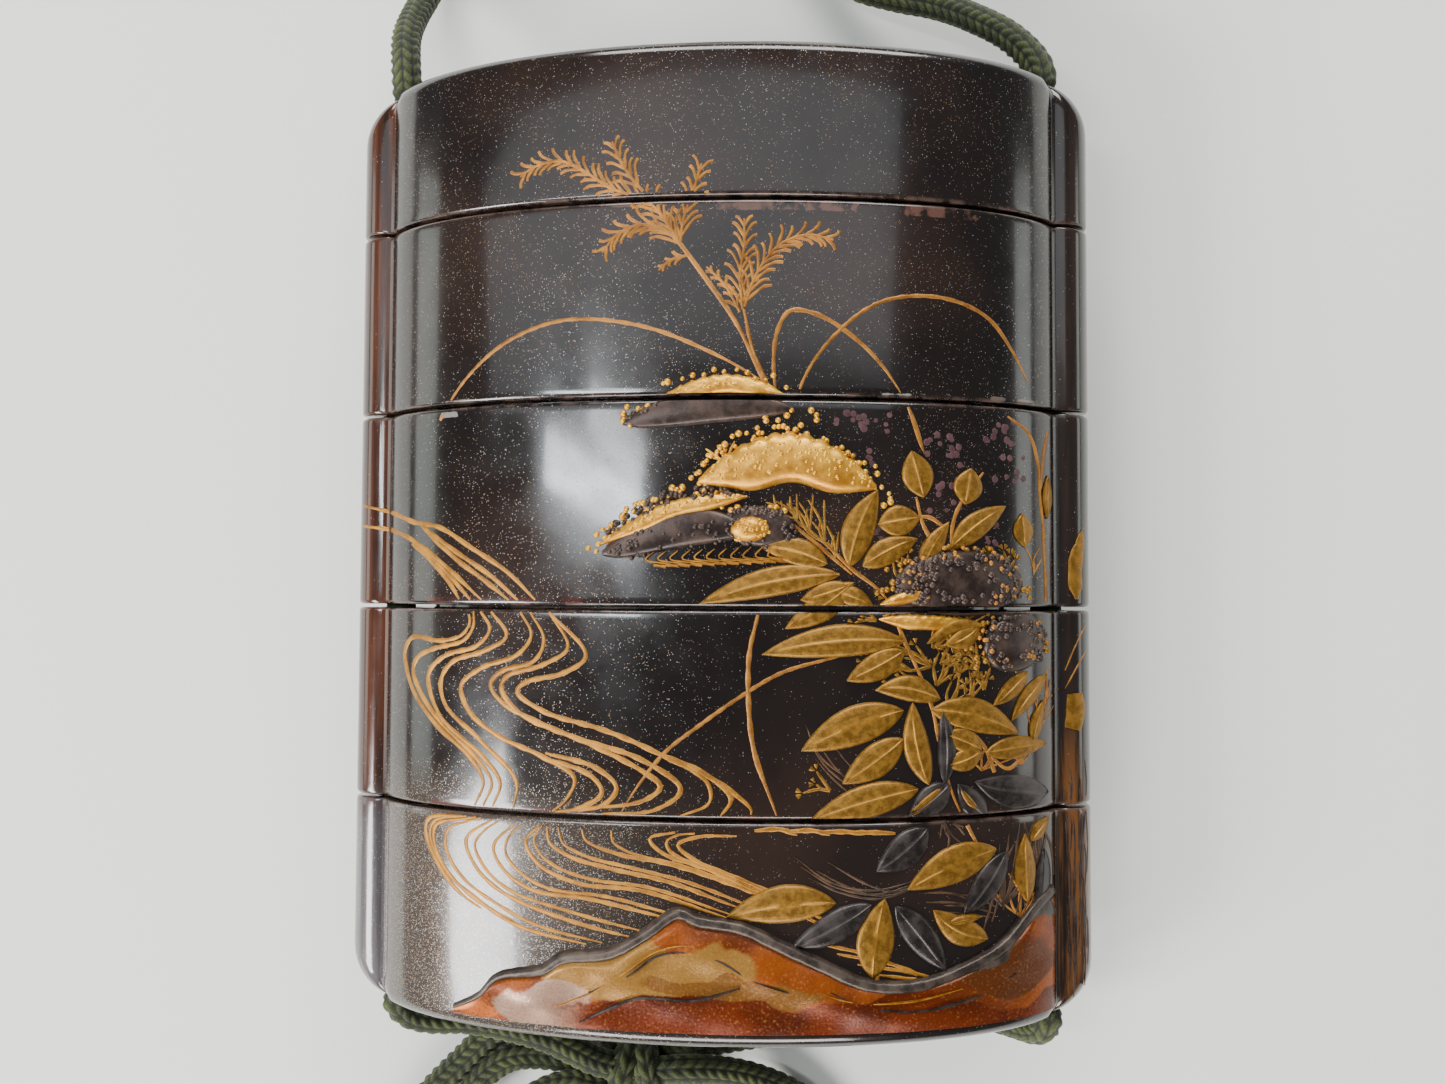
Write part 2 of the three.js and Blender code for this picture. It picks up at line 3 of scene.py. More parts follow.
import bmesh
import bpy
import numpy as np
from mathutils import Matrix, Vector


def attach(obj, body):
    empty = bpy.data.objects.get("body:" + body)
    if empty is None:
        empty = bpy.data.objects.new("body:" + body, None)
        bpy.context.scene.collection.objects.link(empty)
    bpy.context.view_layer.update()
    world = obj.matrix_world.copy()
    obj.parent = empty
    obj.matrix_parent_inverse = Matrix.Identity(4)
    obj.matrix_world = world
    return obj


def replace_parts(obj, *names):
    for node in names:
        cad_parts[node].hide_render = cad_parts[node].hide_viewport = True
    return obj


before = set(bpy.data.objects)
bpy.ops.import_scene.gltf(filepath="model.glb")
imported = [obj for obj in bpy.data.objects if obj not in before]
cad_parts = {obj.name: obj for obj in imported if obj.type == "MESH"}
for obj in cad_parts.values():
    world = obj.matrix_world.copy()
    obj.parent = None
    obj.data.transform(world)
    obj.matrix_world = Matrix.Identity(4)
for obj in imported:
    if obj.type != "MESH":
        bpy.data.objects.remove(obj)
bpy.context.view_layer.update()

# The case's measures in millimetres, as in the CAD source
CASE_WIDTH = 60
CASE_DEPTH = 22.4
BAND_WIDTH = 3.4
BAND_RADIUS = 2.56
FACE_EDGE_HEIGHT = 3
GROOVE_WIDTH = 0.75
GROOVE_DEPTH = 0.3
REST_FLAT_DEPTH = 0.12
RIM_ROUND = 1.2
SHOULDER_ROUND = 4
END_DROP_AT_SIDES = 0.65
END_DROP_AT_FACE = 0.25
SEAM_GAP = 0.3
WALL_THICKNESS = 2.4
COMPARTMENT_HALF_WIDTH = 22.4
COMPARTMENT_POWER = 2.5
FLOOR_THICKNESS = 1.8
LID_TOP_THICKNESS = 2.4
RIM_HEIGHT = 3
RIM_WALL = 0.9
RIM_CLEARANCE = 0.3
CHANNEL_X = 26.6
CHANNEL_RADIUS = 1.7
CORD_DIAMETER = 2.5
TOP_Y = 37.65
SEAMS = (25.25, 10.25, -5.35, -20.85)
HALF_DEPTH = CASE_DEPTH / 2
MID_Z = HALF_DEPTH - REST_FLAT_DEPTH
FACE_EDGE_X = CASE_WIDTH / 2 - BAND_WIDTH
FACE_HALF_WIDTH = FACE_EDGE_X / math.sqrt(1 - (FACE_EDGE_HEIGHT / HALF_DEPTH) ** 2)
BAND_CENTRE_X = CASE_WIDTH / 2 - BAND_RADIUS
BAND_START_X = FACE_EDGE_X + GROOVE_WIDTH
MM = 0.001
rng = np.random.default_rng(7)


# Node materials
class Nodes:
    """A material's node tree, built by short calls."""

    def __init__(self, name):
        self.material = bpy.data.materials.new(name)
        self.material.use_nodes = True
        self.tree = self.material.node_tree
        self.shader = self.tree.nodes["Principled BSDF"]
        self.coords = self.node("TexCoord")["Object"]

    def put(self, socket, value):
        """Links a socket, sets a value, or leaves the default."""
        if isinstance(value, bpy.types.NodeSocket):
            self.tree.links.new(value, socket)
        elif value is not None:
            socket.default_value = value

    def node(self, kind, inputs=None, **properties):
        """A new node's outputs, with its inputs by name or number and its properties."""
        node = self.tree.nodes.new("ShaderNode" + kind)
        for name, value in properties.items():
            setattr(node, name, value)
        for key, value in (inputs or {}).items():
            self.put(node.inputs[key], value)
        return node.outputs

    def set(self, **values):
        for name, value in values.items():
            self.put(self.shader.inputs[name.replace("_", " ")], value)

    def math(self, operation, a, b=None, clamp=False):
        return self.node("Math", {0: a, 1: b}, operation=operation, use_clamp=clamp)[0]

    def times(self, *factors):
        product = factors[0]
        for factor in factors[1:]:
            product = self.math("MULTIPLY", product, factor)
        return product

    def window(self, value, low, high, soft):
        """1 between two limits, with soft edges."""
        rising = self.ramp(value, low - soft, low + soft)
        return self.times(rising, self.ramp(value, high + soft, high - soft))

    def attribute(self, name):
        return self.node("Attribute", attribute_name=name)["Fac"]

    def mapped(self, scale):
        return self.node("Mapping", {"Vector": self.coords, "Scale": scale})[0]

    def noise(self, scale, vector=None, detail=3.0, rough=0.5):
        inputs = {"Vector": vector or self.coords, "Scale": scale, "Detail": detail, "Roughness": rough}
        return self.node("TexNoise", inputs)["Fac"]

    def cells(self, scale):
        return self.node("TexVoronoi", {"Vector": self.coords, "Scale": scale})

    def ramp(self, value, low, high, start=0.0, end=1.0):
        inputs = {"Value": value, "From Min": low, "From Max": high, "To Min": start, "To Max": end}
        return self.node("MapRange", inputs, interpolation_type="SMOOTHSTEP")[0]

    def parts(self, vector):
        """The three numbers of a vector or a colour."""
        return self.node("SeparateXYZ", {0: vector})

    def mix(self, share, a, b):
        """A mix of two colours, which are inputs 6 and 7 of a node that is set to colour."""
        return self.node("Mix", {"Factor": share, 6: a, 7: b}, data_type="RGBA")[2]

    def bump(self, height, strength, distance):
        normal = self.node("Bump", {"Strength": strength, "Distance": distance, "Height": height})[0]
        self.put(self.shader.inputs["Normal"], normal)


def rgb(red, green, blue):
    """Linear colour from the usual 0 to 255 values."""
    parts = [v / 255 for v in (red, green, blue)]
    return tuple(v / 12.92 if v < 0.0392 else ((v + 0.055) / 1.055) ** 2.4 for v in parts) + (1,)


# Wear in the lacquer: left, right, low and high in millimetres, and its colour
WEAR = [
    (-0.7, 11.2, 24.15, 25.1, (88, 60, 50)), (14.2, 20.5, 24.05, 25.1, (88, 60, 50)),
    (-8.5, -4, 24.6, 25.1, (84, 64, 56)), (-21.6, -19.6, 9.3, 9.9, (128, 124, 120)),
    (-20.9, -17.7, 8.3, 9.4, (12, 9, 8)), (-19.9, -19.2, 28.2, 28.8, (190, 92, 40)),
    (-20.1, -19.7, 32.9, 33.3, (210, 210, 205)), (12.4, 15.4, 10.45, 10.8, (140, 138, 135)),
    (-24, -9, -5.1, -4.5, (60, 24, 18)), (-22, -8, -20.7, -20.1, (66, 26, 20)),
    (-4, 4, -20.7, -20.3, (66, 26, 20)), (-23, -12, 10.5, 10.8, (104, 90, 82)),
    (-26, -22, -21.4, -21, (110, 108, 106)), (21, 26, 10.4, 10.9, (96, 84, 76)),
]
WEAR_EDGE = 0.00018


def lacquer_bands(n, x, y):
    """Colours of the left and the right side band, streaked along the case, with a painted grey reflection
    low on the left band.
    """
    streaks = n.noise(900, n.mapped((1, 0.05, 1)), detail=5, rough=0.65)
    shade = n.ramp(streaks, 0.3, 0.75)
    left = n.mix(shade, rgb(32, 19, 14), rgb(84, 44, 26))
    # Painted reflection: the left band turns silvery grey towards the base
    left = n.mix(n.ramp(y, -0.019, -0.024), left, n.mix(shade, rgb(60, 56, 58), rgb(112, 106, 108)))
    bark = n.mix(n.ramp(streaks, 0.42, 0.6), rgb(22, 14, 9), rgb(96, 60, 28))
    right = n.mix(n.ramp(y, -0.012, -0.02), n.mix(shade, rgb(18, 14, 12), rgb(42, 30, 24)), bark)
    return n.mix(n.math("GREATER_THAN", x, 0.0), left, right)


def lacquer_material():
    """Brown-black lacquer with sprinkled flecks, red-brown along the left band, and worn at the seams, with a
    painted grey glare at the lower left of the front and a painted grey reflection low on the left band.
    """
    n = Nodes("lacquer")
    x, y, z = n.parts(n.coords)
    ground = n.mix(n.ramp(n.noise(60, detail=4), 0.35, 0.7), rgb(16, 10, 8), rgb(38, 25, 19))
    on_band = n.ramp(n.math("ABSOLUTE", x), 0.0264, 0.0271)
    ground = n.mix(on_band, ground, lacquer_bands(n, x, y))

    # Flecks: some of the cells, more of them at the lower left, fewer among the leaves
    cells = n.cells(12500)
    choice, tint, strength = n.parts(cells["Color"])
    front = n.times(n.ramp(z, 0.011, 0.0135), n.ramp(on_band, 1, 0.2, 0.12, 1))
    # The lower left of the front, which gets a painted grey glare and denser flecks
    lower_left_glare = n.times(n.ramp(x, 0.002, -0.014), n.ramp(y, -0.016, -0.023))
    sparse = n.ramp(n.times(n.ramp(x, -0.002, 0.006), n.ramp(y, -0.002, -0.008)), 0, 1, 1, 0.25)
    patchy = n.times(n.ramp(n.noise(120, detail=3), 0.3, 0.7, 0.35, 1.0), sparse)
    share = n.math("ADD", n.times(patchy, 0.1), n.times(lower_left_glare, 0.38), clamp=True)
    chosen = n.math("GREATER_THAN", n.times(share, front), choice)
    fleck = n.times(chosen, n.ramp(cells["Distance"], 0.5, 0.34))
    metal = n.mix(n.ramp(tint, 0.35, 0.65), rgb(176, 140, 98), rgb(186, 186, 184))
    # Painted glare: the ground at the lower left is lightened to grey
    ground = n.mix(n.times(lower_left_glare, front, 0.22), ground, rgb(112, 102, 92))
    shown = n.mix(n.times(fleck, n.ramp(strength, 0.2, 0.9, 0.3, 0.85)), ground, metal)

    # Wear, ragged by a noise
    blotch = n.noise(700, detail=4, rough=0.6)
    raised_blotch = n.math("ADD", blotch, 0.05)
    for left, right, low, high, colour in WEAR:
        inside = n.window(x, left * MM, right * MM, WEAR_EDGE * 3)
        inside = n.times(inside, n.window(y, low * MM, high * MM, WEAR_EDGE), front)
        shown = n.mix(n.ramp(n.times(inside, raised_blotch), 0.46, 0.6, 0, 0.85), shown, rgb(*colour))
    edge = 1.0
    for seam in SEAMS:
        near = n.math("ABSOLUTE", n.math("SUBTRACT", y, seam * MM))
        edge = n.times(edge, n.ramp(near, 0.00022, 0.0005))
    worn = n.times(n.math("SUBTRACT", 1.0, edge), n.ramp(blotch, 0.4, 0.6))
    shown = n.mix(n.times(worn, 0.7), shown, rgb(84, 66, 58))
    n.set(Base_Color=shown, Metallic=n.times(fleck, 0.7))
    haze = n.ramp(n.noise(330, detail=5), 0.3, 0.7, 0.13, 0.21)
    n.set(Roughness=n.math("ADD", haze, n.times(fleck, 0.18)), Coat_Weight=0.35, Coat_Roughness=0.07)
    n.bump(n.math("ADD", n.times(fleck, 0.5), n.noise(420, detail=2)), 0.14, 0.00005)
    return n.material


def gold_material(name, bright, dark, metallic, rough, cloud_scale=700):
    """Gold or silver powder in lacquer, slightly uneven, with fine grains."""
    n = Nodes(name)
    cloud = n.noise(cloud_scale, detail=4, rough=0.65)
    grain = n.noise(9000, detail=2)
    shown = n.mix(n.ramp(cloud, 0.36, 0.66), rgb(*dark), rgb(*bright))
    light = rgb(*[min(255, v * 1.32) for v in bright])
    shown = n.mix(n.ramp(grain, 0.6, 0.72, 0, 0.5), shown, light)
    shown = n.mix(n.times(n.attribute("tone"), 0.28), shown, light)
    n.set(Base_Color=shown, Metallic=metallic, Roughness=n.ramp(cloud, 0.3, 0.7, rough, rough + 0.15))
    n.bump(n.math("ADD", grain, n.times(cloud, 2.0)), 0.25, 0.00005)
    return n.material


# Patches of the rocks: middle and reach in millimetres, and colour
ROCK_PATCHES = [
    ((-4, -31.8), (8, 2.6), (138, 98, 42)), ((-12.5, -34.3), (4.2, 1.5), (150, 118, 98)),
    ((2.5, -33.4), (7, 0.9), (112, 72, 26)), ((22.5, -31.8), (4.5, 1.6), (84, 42, 14)),
    ((-17.4, -35.2), (1.8, 0.8), (160, 80, 24)),
]


def rock_material():
    """The rocks: red-brown, with patches of gold and grey, darker low on the right and at the foot."""
    n = Nodes("rock")
    x, y, _ = n.parts(n.coords)
    grain = n.noise(5200, detail=3)
    level = n.math("ADD", y, n.math("ADD", n.times(n.noise(130, detail=3), 0.006), -0.003))
    ragged = n.times(n.math("SUBTRACT", n.noise(260, detail=4), 0.5), 1.6)
    shown = n.mix(n.ramp(n.noise(180, detail=4), 0.4, 0.62), rgb(136, 66, 16), rgb(94, 40, 10))
    for place, reach, colour in ROCK_PATCHES:
        across = n.math("DIVIDE", n.math("SUBTRACT", x, place[0] * MM), reach[0] * MM)
        along = n.math("DIVIDE", n.math("SUBTRACT", level, place[1] * MM), reach[1] * MM)
        away = n.math("ADD", n.times(across, across), n.times(along, along))
        shown = n.mix(n.ramp(n.math("ADD", away, ragged), 1.05, 0.8), shown, rgb(*colour))
    low = n.mix(n.ramp(n.noise(210, detail=4), 0.4, 0.65), rgb(100, 38, 9), rgb(70, 24, 5))
    low_right = n.times(n.ramp(x, -0.013, -0.008), n.ramp(level, -0.034, -0.0342))
    shown = n.mix(low_right, shown, low)
    shown = n.mix(n.ramp(y, -0.0362, -0.0366), shown, rgb(36, 24, 18))
    shown = n.mix(n.ramp(grain, 0.58, 0.7, 0, 0.25), shown, rgb(196, 130, 58))
    rough = n.ramp(grain, 0.3, 0.7, 0.24, 0.4)
    n.set(Base_Color=shown, Metallic=0.3, Roughness=rough, Specular_IOR_Level=0.3)
    n.bump(grain, 0.25, 0.00006)
    return n.material


def cord_material():
    """Olive silk: each lump of the braid shows fine threads, and the hollows get painted shade."""
    n = Nodes("olive_cord")
    cloud = n.noise(420, detail=3)
    threads = n.noise(7000, detail=3, rough=0.7)
    shown = n.mix(n.ramp(cloud, 0.35, 0.65), rgb(38, 46, 18), rgb(64, 72, 28))
    shown = n.mix(n.ramp(threads, 0.45, 0.7, 0, 0.55), shown, rgb(106, 112, 52))
    # Painted shade: the hollows between the lumps of the braid are darkened
    shown = n.mix(n.attribute("hollow_shade"), shown, rgb(9, 12, 6))
    n.set(Base_Color=shown, Roughness=0.82, Sheen_Weight=0.25, Sheen_Roughness=0.4)
    n.bump(threads, 0.35, 0.00008)
    return n.material


lacquer = lacquer_material()
inside_lacquer = gold_material("inside_lacquer", (64, 46, 34), (44, 32, 26), 0.1, 0.3)
leaf_gold = gold_material("leaf_gold", (146, 104, 34), (112, 78, 22), 0.6, 0.34, 1800)
bright_gold = gold_material("bright_gold", (226, 164, 52), (190, 126, 36), 0.7, 0.32)
line_gold = gold_material("line_gold", (178, 122, 38), (138, 90, 24), 0.5, 0.36)
copper_gold = gold_material("copper_gold", (172, 116, 46), (128, 82, 30), 0.5, 0.36)
pewter = gold_material("pewter", (66, 59, 56), (36, 31, 29), 0.5, 0.26)
stone = gold_material("stone", (84, 72, 63), (48, 40, 35), 0.45, 0.3)
dusk = gold_material("dusk", (72, 56, 48), (40, 30, 27), 0.4, 0.28)
flake = gold_material("flake", (86, 56, 58), (58, 40, 42), 0.3, 0.35)
blade = gold_material("blade", (88, 62, 40), (52, 38, 28), 0.4, 0.3)
rock = rock_material()
olive = cord_material()


# Meshes, from points in millimetres
def plain_object(name, points, faces):
    mesh = bpy.data.meshes.new(name)
    mesh.from_pydata([tuple(p) for p in np.asarray(points, float) * MM], [], faces)
    mesh.update()
    obj = bpy.data.objects.new(name, mesh)
    bpy.context.collection.objects.link(obj)
    return obj


def new_object(name, points, faces, materials):
    """A smooth object with its materials, that rides on the body."""
    obj = plain_object(name, points, faces)
    for material in materials:
        obj.data.materials.append(material)
    obj.data.polygons.foreach_set("use_smooth", [True] * len(obj.data.polygons))
    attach(obj, "root")
    return obj


def ring_faces(rings, count, start=0):
    """Quads between rings of equal length, laid end to end in one point list."""
    faces = []
    for low in range(start, start + (rings - 1) * count, count):
        for i in range(count):
            j = (i + 1) % count
            faces.append((low + i, low + j, low + count + j, low + count + i))
    return faces


def capped_faces(rings, count):
    """Ring faces, with fans to the two points after the rings: the middles of the first and the last."""
    faces = ring_faces(rings, count)
    first, last, high = rings * count, rings * count + 1, (rings - 1) * count
    for i in range(count):
        j = (i + 1) % count
        faces.append((first, j, i))
        faces.append((last, high + i, high + j))
    return faces


def turn_faces_out(mesh):
    work = bmesh.new()
    work.from_mesh(mesh)
    bmesh.ops.recalc_face_normals(work, faces=work.faces)
    work.to_mesh(mesh)
    work.free()


# Camera, at the place and the lens that the case's corners and seams give
CAMERA_PLACE = (0.00707, -0.00402, 0.11398)
CAMERA_TURN = (2.24, 3.73, 0.24)
CAMERA_LENS = 31.14
lens = bpy.data.cameras.new("camera")
lens.lens = CAMERA_LENS
lens.sensor_width = 36
lens.clip_start = 0.001
camera = bpy.data.objects.new("camera", lens)
camera.location = CAMERA_PLACE
camera.rotation_euler = [math.radians(angle) for angle in CAMERA_TURN]
bpy.context.collection.objects.link(camera)
bpy.context.scene.camera = camera


# Table in millimetres, and lights in metres and watts
TABLE_REACH = 900
TABLE_DROP = 0.05
CASE_MIDDLE = (0, 0, 0.01)


def table():
    corners = [(x * TABLE_REACH, y * TABLE_REACH, 0) for x, y in ((-1, -1), (1, -1), (1, 1), (-1, 1))]
    obj = plain_object("table", corners, [(0, 1, 2, 3)])
    obj.location.z = -TABLE_DROP * MM
    n = Nodes("table")
    n.set(Base_Color=n.mix(n.noise(9), rgb(222, 223, 216), rgb(228, 228, 222)), Roughness=0.7)
    obj.data.materials.append(n.material)


def area_light(name, place, target, size, energy, colour):
    data = bpy.data.lights.new(name, "AREA")
    data.shape = "RECTANGLE"
    data.size, data.size_y = size
    data.energy = energy
    data.color = colour
    obj = bpy.data.objects.new(name, data)
    obj.location = place
    obj.rotation_euler = (Vector(target) - Vector(place)).to_track_quat("-Z", "Y").to_euler()
    bpy.context.collection.objects.link(obj)


table()
# Name, place, target, width and height, energy and colour of each light
LIGHTS = [
    ("window", (-0.19, 0.038, 0.40), CASE_MIDDLE, (0.022, 0.15), 0.45, (0.9, 0.96, 1)),
    ("upper_window", (-0.15, 0.058, 0.40), CASE_MIDDLE, (0.02, 0.08), 0.1, (0.95, 0.98, 1)),
    ("ceiling", (-0.12, 0.15, 0.40), (-0.12, 0, 0.01), (0.72, 0.13), 0.42, (0.88, 0.94, 1)),
    ("left_window", (-0.36, -0.17, 0.30), CASE_MIDDLE, (0.17, 0.16), 2.8, (0.97, 0.98, 1)),
    ("left_wall", (-0.55, 0.05, 0.12), CASE_MIDDLE, (0.3, 0.14), 0.38, (0.9, 0.98, 0.92)),
    ("right_wall", (0.55, 0.05, 0.1), CASE_MIDDLE, (0.3, 0.12), 0.3, (0.95, 1, 0.95)),
    ("far", (0.05, 0.6, 0.35), CASE_MIDDLE, (0.6, 0.25), 6.4, (1, 1, 1)),
    ("near", (-0.05, -0.6, 0.35), CASE_MIDDLE, (0.5, 0.2), 5.0, (1, 0.98, 0.95)),
]
for light in LIGHTS:
    area_light(*light)
world = bpy.data.worlds.new("world")
bpy.context.scene.world = world
world.use_nodes = True
background = world.node_tree.nodes["Background"]
background.inputs["Color"].default_value = (0.9, 0.95, 1, 1)
background.inputs["Strength"].default_value = 0.2


# Cords: a braid of eight columns of slanted lumps
def smooth_route(points, step):
    """A centripetal spline through the points, in even steps."""
    points = np.asarray(points, float)
    first = 2 * points[0] - points[1]
    last = 2 * points[-1] - points[-2]
    p = np.vstack([first, points, last])
    line = []
    for i in range(1, len(p) - 2):
        knots = [0.0]
        for k in range(3):
            knots.append(knots[-1] + max(1e-6, np.linalg.norm(p[i + k] - p[i + k - 1])) ** 0.5)
        t0, t1, t2, t3 = knots
        for t in np.linspace(t1, t2, 24, endpoint=False):
            a = [(p[i - 1 + k] * (knots[k + 1] - t) + p[i + k] * (t - knots[k])) / (knots[k + 1] - knots[k])
                 for k in range(3)]
            b1 = (a[0] * (t2 - t) + a[1] * (t - t0)) / (t2 - t0)
            b2 = (a[1] * (t3 - t) + a[2] * (t - t1)) / (t3 - t1)
            line.append((b1 * (t2 - t) + b2 * (t - t1)) / (t2 - t1))
    line = np.array(line + [points[-1]])
    run = np.concatenate([[0], np.cumsum(np.linalg.norm(np.diff(line, axis=0), axis=1))])
    even = np.linspace(0, run[-1], max(4, int(round(run[-1] / step))) + 1)
    return np.column_stack([np.interp(even, run, line[:, k]) for k in range(3)]), run[-1]


BRAID_COLUMNS = 8
BRAID_PITCH = 0.95
BRAID_AROUND = 40
BRAID_STEP = 0.16
BRAID_CORE = 0.84
BRAID_RELIEF = 0.2
BRAID_LOWEST = 0.02


def braid_tube(route):
    """Points, faces, painted hollow shade values and ring centres of a braided cord along the route."""
    line, length = smooth_route(route, BRAID_STEP)
    tangents = np.gradient(line, axis=0)
    tangents /= np.linalg.norm(tangents, axis=1)[:, None]
    normal = np.cross(tangents[0], (0, 0, 1))
    normal /= np.linalg.norm(normal)
    theta = 2 * np.pi * np.arange(BRAID_AROUND) / BRAID_AROUND
    column = theta * BRAID_COLUMNS / (2 * np.pi)
    within = column - np.floor(column) - 0.5
    lean = np.where(np.floor(column) % 2 == 0, 1.0, -1.0)
    points, hollow_shades = [], []
    for i, (centre, tangent) in enumerate(zip(line, tangents)):
        normal = normal - tangent * normal.dot(tangent)
        normal /= np.linalg.norm(normal)
        other = np.cross(tangent, normal)
        phase = i * length / (len(line) - 1) / BRAID_PITCH + lean * within * 0.9
        lump = (0.5 + 0.5 * np.cos(2 * np.pi * phase)) ** 0.7 * np.cos(np.pi * within) ** 0.45
        end = min(1.0, (i + 0.5) / 5, (len(line) - 0.5 - i) / 5)
        radius = CORD_DIAMETER / 2 * (BRAID_CORE + BRAID_RELIEF * lump) * (1 - 0.35 * (1 - end) ** 2)
        around = np.cos(theta)[:, None] * normal + np.sin(theta)[:, None] * other
        points.append(centre + radius[:, None] * around)
        # How deep in a hollow between lumps each point lies, for the painted shade
        hollow_shades.append(np.clip(1 - 1.5 * lump, 0, 1))
    flat = np.vstack(points + [line[:1], line[-1:]])
    flat[:, 2] = np.maximum(flat[:, 2], BRAID_LOWEST)
    faces = capped_faces(len(line), BRAID_AROUND)
    return flat, faces, np.concatenate(hollow_shades + [[0.5, 0.5]]), line, length


def cord_object(name, routes):
    """One object of one or more braided tubes, with the first tube's centres and length."""
    points, faces, hollow_shades = [], [], []
    centres, length = None, 0
    for route in routes:
        more, quads, hollow_shade, line, run = braid_tube(route)
        offset = sum(len(p) for p in points)
        points.append(more)
        hollow_shades.append(hollow_shade)
        faces += [tuple(offset + v for v in quad) for quad in quads]
        if centres is None:
            centres, length = line, run
    obj = new_object(name, np.vstack(points), faces, [olive])
    layer = obj.data.attributes.new("hollow_shade", "FLOAT", "POINT")
    layer.data.foreach_set("value", np.concatenate(hollow_shades))
    return obj, centres * MM, length * MM


TOP_LOOP = [
    (-26.6, 37.2, 11.08), (-26.9, 40.5, 10.9), (-27.4, 43.6, 9.4), (-27.6, 46.6, 6.9), (-27.3, 49.8, 4.3),
    (-26.6, 53.4, 2.2), (-25, 57.8, 1.4), (-21.5, 63.5, 1.3), (-16.5, 69.3, 1.3), (-11.5, 75, 1.3),
    (-7.9, 81.5, 1.3), (-6.6, 88.5, 1.3), (-7, 96, 1.3), (-8.4, 104, 1.3), (-9.2, 112, 1.3),
    (-8.2, 119.5, 1.3), (-4, 125, 1.3), (1.6, 126, 1.3), (6, 122.6, 1.3), (7.4, 116.4, 1.3),
    (5.6, 109, 1.3), (2, 101.6, 1.3), (-1.6, 94.4, 1.3), (-3.2, 87, 1.3), (-3.4, 79.6, 1.3),
    (-2, 72.4, 1.3), (0.4, 65.6, 1.3), (3.6, 59.4, 1.3), (7.4, 54.6, 1.4), (11.2, 51, 2.2),
    (15.2, 48.9, 3.7), (18.4, 47.4, 5.3), (21.2, 45.4, 7.2), (24.4, 42.4, 9.4), (26.3, 39.3, 10.8),
    (26.6, 37.2, 11.08),
]
STRAND_LEFT = [
    (-26.6, -37.2, 11.08), (-26.35, -38.4, 10.8), (-25.5, -39.4, 10.2), (-23.9, -40, 9.4),
    (-21.4, -40.3, 8.4), (-18.2, -41.2, 7.3), (-14.8, -42.5, 6.2), (-12.8, -43.7, 5.5), (-10.9, -44.8, 4.9),
]
STRAND_RIGHT = [
    (26.6, -37.2, 11.08), (26.5, -38.3, 10.9), (26.3, -39.1, 10.2), (25.6, -39.6, 9), (24.3, -39.7, 7.4),
    (22.3, -39.7, 5.7), (19, -39.9, 4), (14.4, -40.5, 2.7), (9, -41.7, 1.9), (3, -43.2, 1.6),
    (-3.6, -44.4, 1.6),
]
BOW_LEFT = [
    (-10.9, -44, 1.5), (-13.6, -42.8, 1.4), (-17, -42, 1.4), (-20.2, -43.2, 1.4), (-23.4, -46.2, 1.4),
    (-27, -50, 1.4), (-29.6, -54.4, 1.4), (-30.4, -59.2, 1.4), (-28.2, -63.4, 1.4), (-23.8, -64.4, 1.4),
    (-21, -61.2, 1.4), (-21.8, -56.8, 1.4), (-23.6, -53, 1.4), (-22.8, -49.2, 1.4), (-19.6, -46.2, 1.4),
    (-15.4, -45.8, 1.4), (-10.8, -46.9, 1.4),
]
BOW_RIGHT = [
    (-3.6, -45.4, 4.7), (-0.8, -45.7, 3.8), (3, -46.8, 2.5), (7, -49, 1.5), (10.4, -52.6, 1.3),
    (11.8, -57.2, 1.3), (10, -61.8, 1.3), (5.4, -63.6, 1.3), (1.4, -61, 1.3), (0.4, -56.4, 1.3),
    (0.2, -52.2, 1.3), (-1.4, -49.2, 1.3), (-3.6, -47.9, 1.4),
]
END_LEFT = [
    (-11, -47.3, 4.7), (-12.8, -47.1, 4.3), (-14.9, -47.6, 4.1), (-17, -48.8, 3.9), (-18.6, -50.8, 2.6),
    (-18.8, -53.6, 1.5), (-17.6, -57.2, 1.3), (-15.6, -60.8, 1.3), (-12.8, -64, 1.3),
]
END_RIGHT = [
    (-7.9, -49.7, 3.3), (-9.4, -51.4, 2), (-11.4, -53.6, 1.3), (-12.6, -56.6, 1.3), (-11.4, -59.8, 1.3),
    (-7.9, -61.8, 1.3), (-3.9, -62, 1.3),
]
KNOT_Y, KNOT_Z = -46.2, 3.2
KNOT_TURNS = 1.15
KNOT_RISE = 1.85


def knot_wrap(x, lean, wide):
    """A turn of the cord round the bow's middle."""
    route = []
    for i in range(13):
        angle = 2 * math.pi * KNOT_TURNS * i / 12 + 2
        cos, sin = math.cos(angle), math.sin(angle)
        route.append((x + lean * cos + 0.5 * i / 12, KNOT_Y + wide * cos, KNOT_Z + KNOT_RISE * sin))
    return route


knot, _, _ = cord_object("knot_wraps", [knot_wrap(-9, 0.5, 1.7), knot_wrap(-6.5, -0.6, 1.9)])
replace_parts(knot, "bow_knot")

cord_top, centres, length = cord_object("cord_top", [TOP_LOOP])
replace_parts(cord_top, "cord_top_loop")

through_knot = [(-8.6, -45.5, 4.4), (-6, -45.6, 4.6)]
back_through_knot = [(-6.2, -47.4, 2.6), (-8.8, -47.3, 4.2)]
left_route = STRAND_LEFT + through_knot + BOW_RIGHT + back_through_knot + END_LEFT
cord_left, centres, length = cord_object("cord_left", [left_route])
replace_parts(cord_left, "cord_strand_left", "bow_loop_right", "bow_end_left")

through_knot = [(-6, -44.5, 1.8), (-8.6, -44.3, 1.7)]
back_through_knot = [(-8.6, -47.2, 1.6), (-6.9, -47.9, 2.4)]
right_route = STRAND_RIGHT + through_knot + BOW_LEFT + back_through_knot + END_RIGHT
cord_right, centres, length = cord_object("cord_right", [right_route])
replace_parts(cord_right, "cord_strand_right", "bow_loop_left", "bow_end_right")

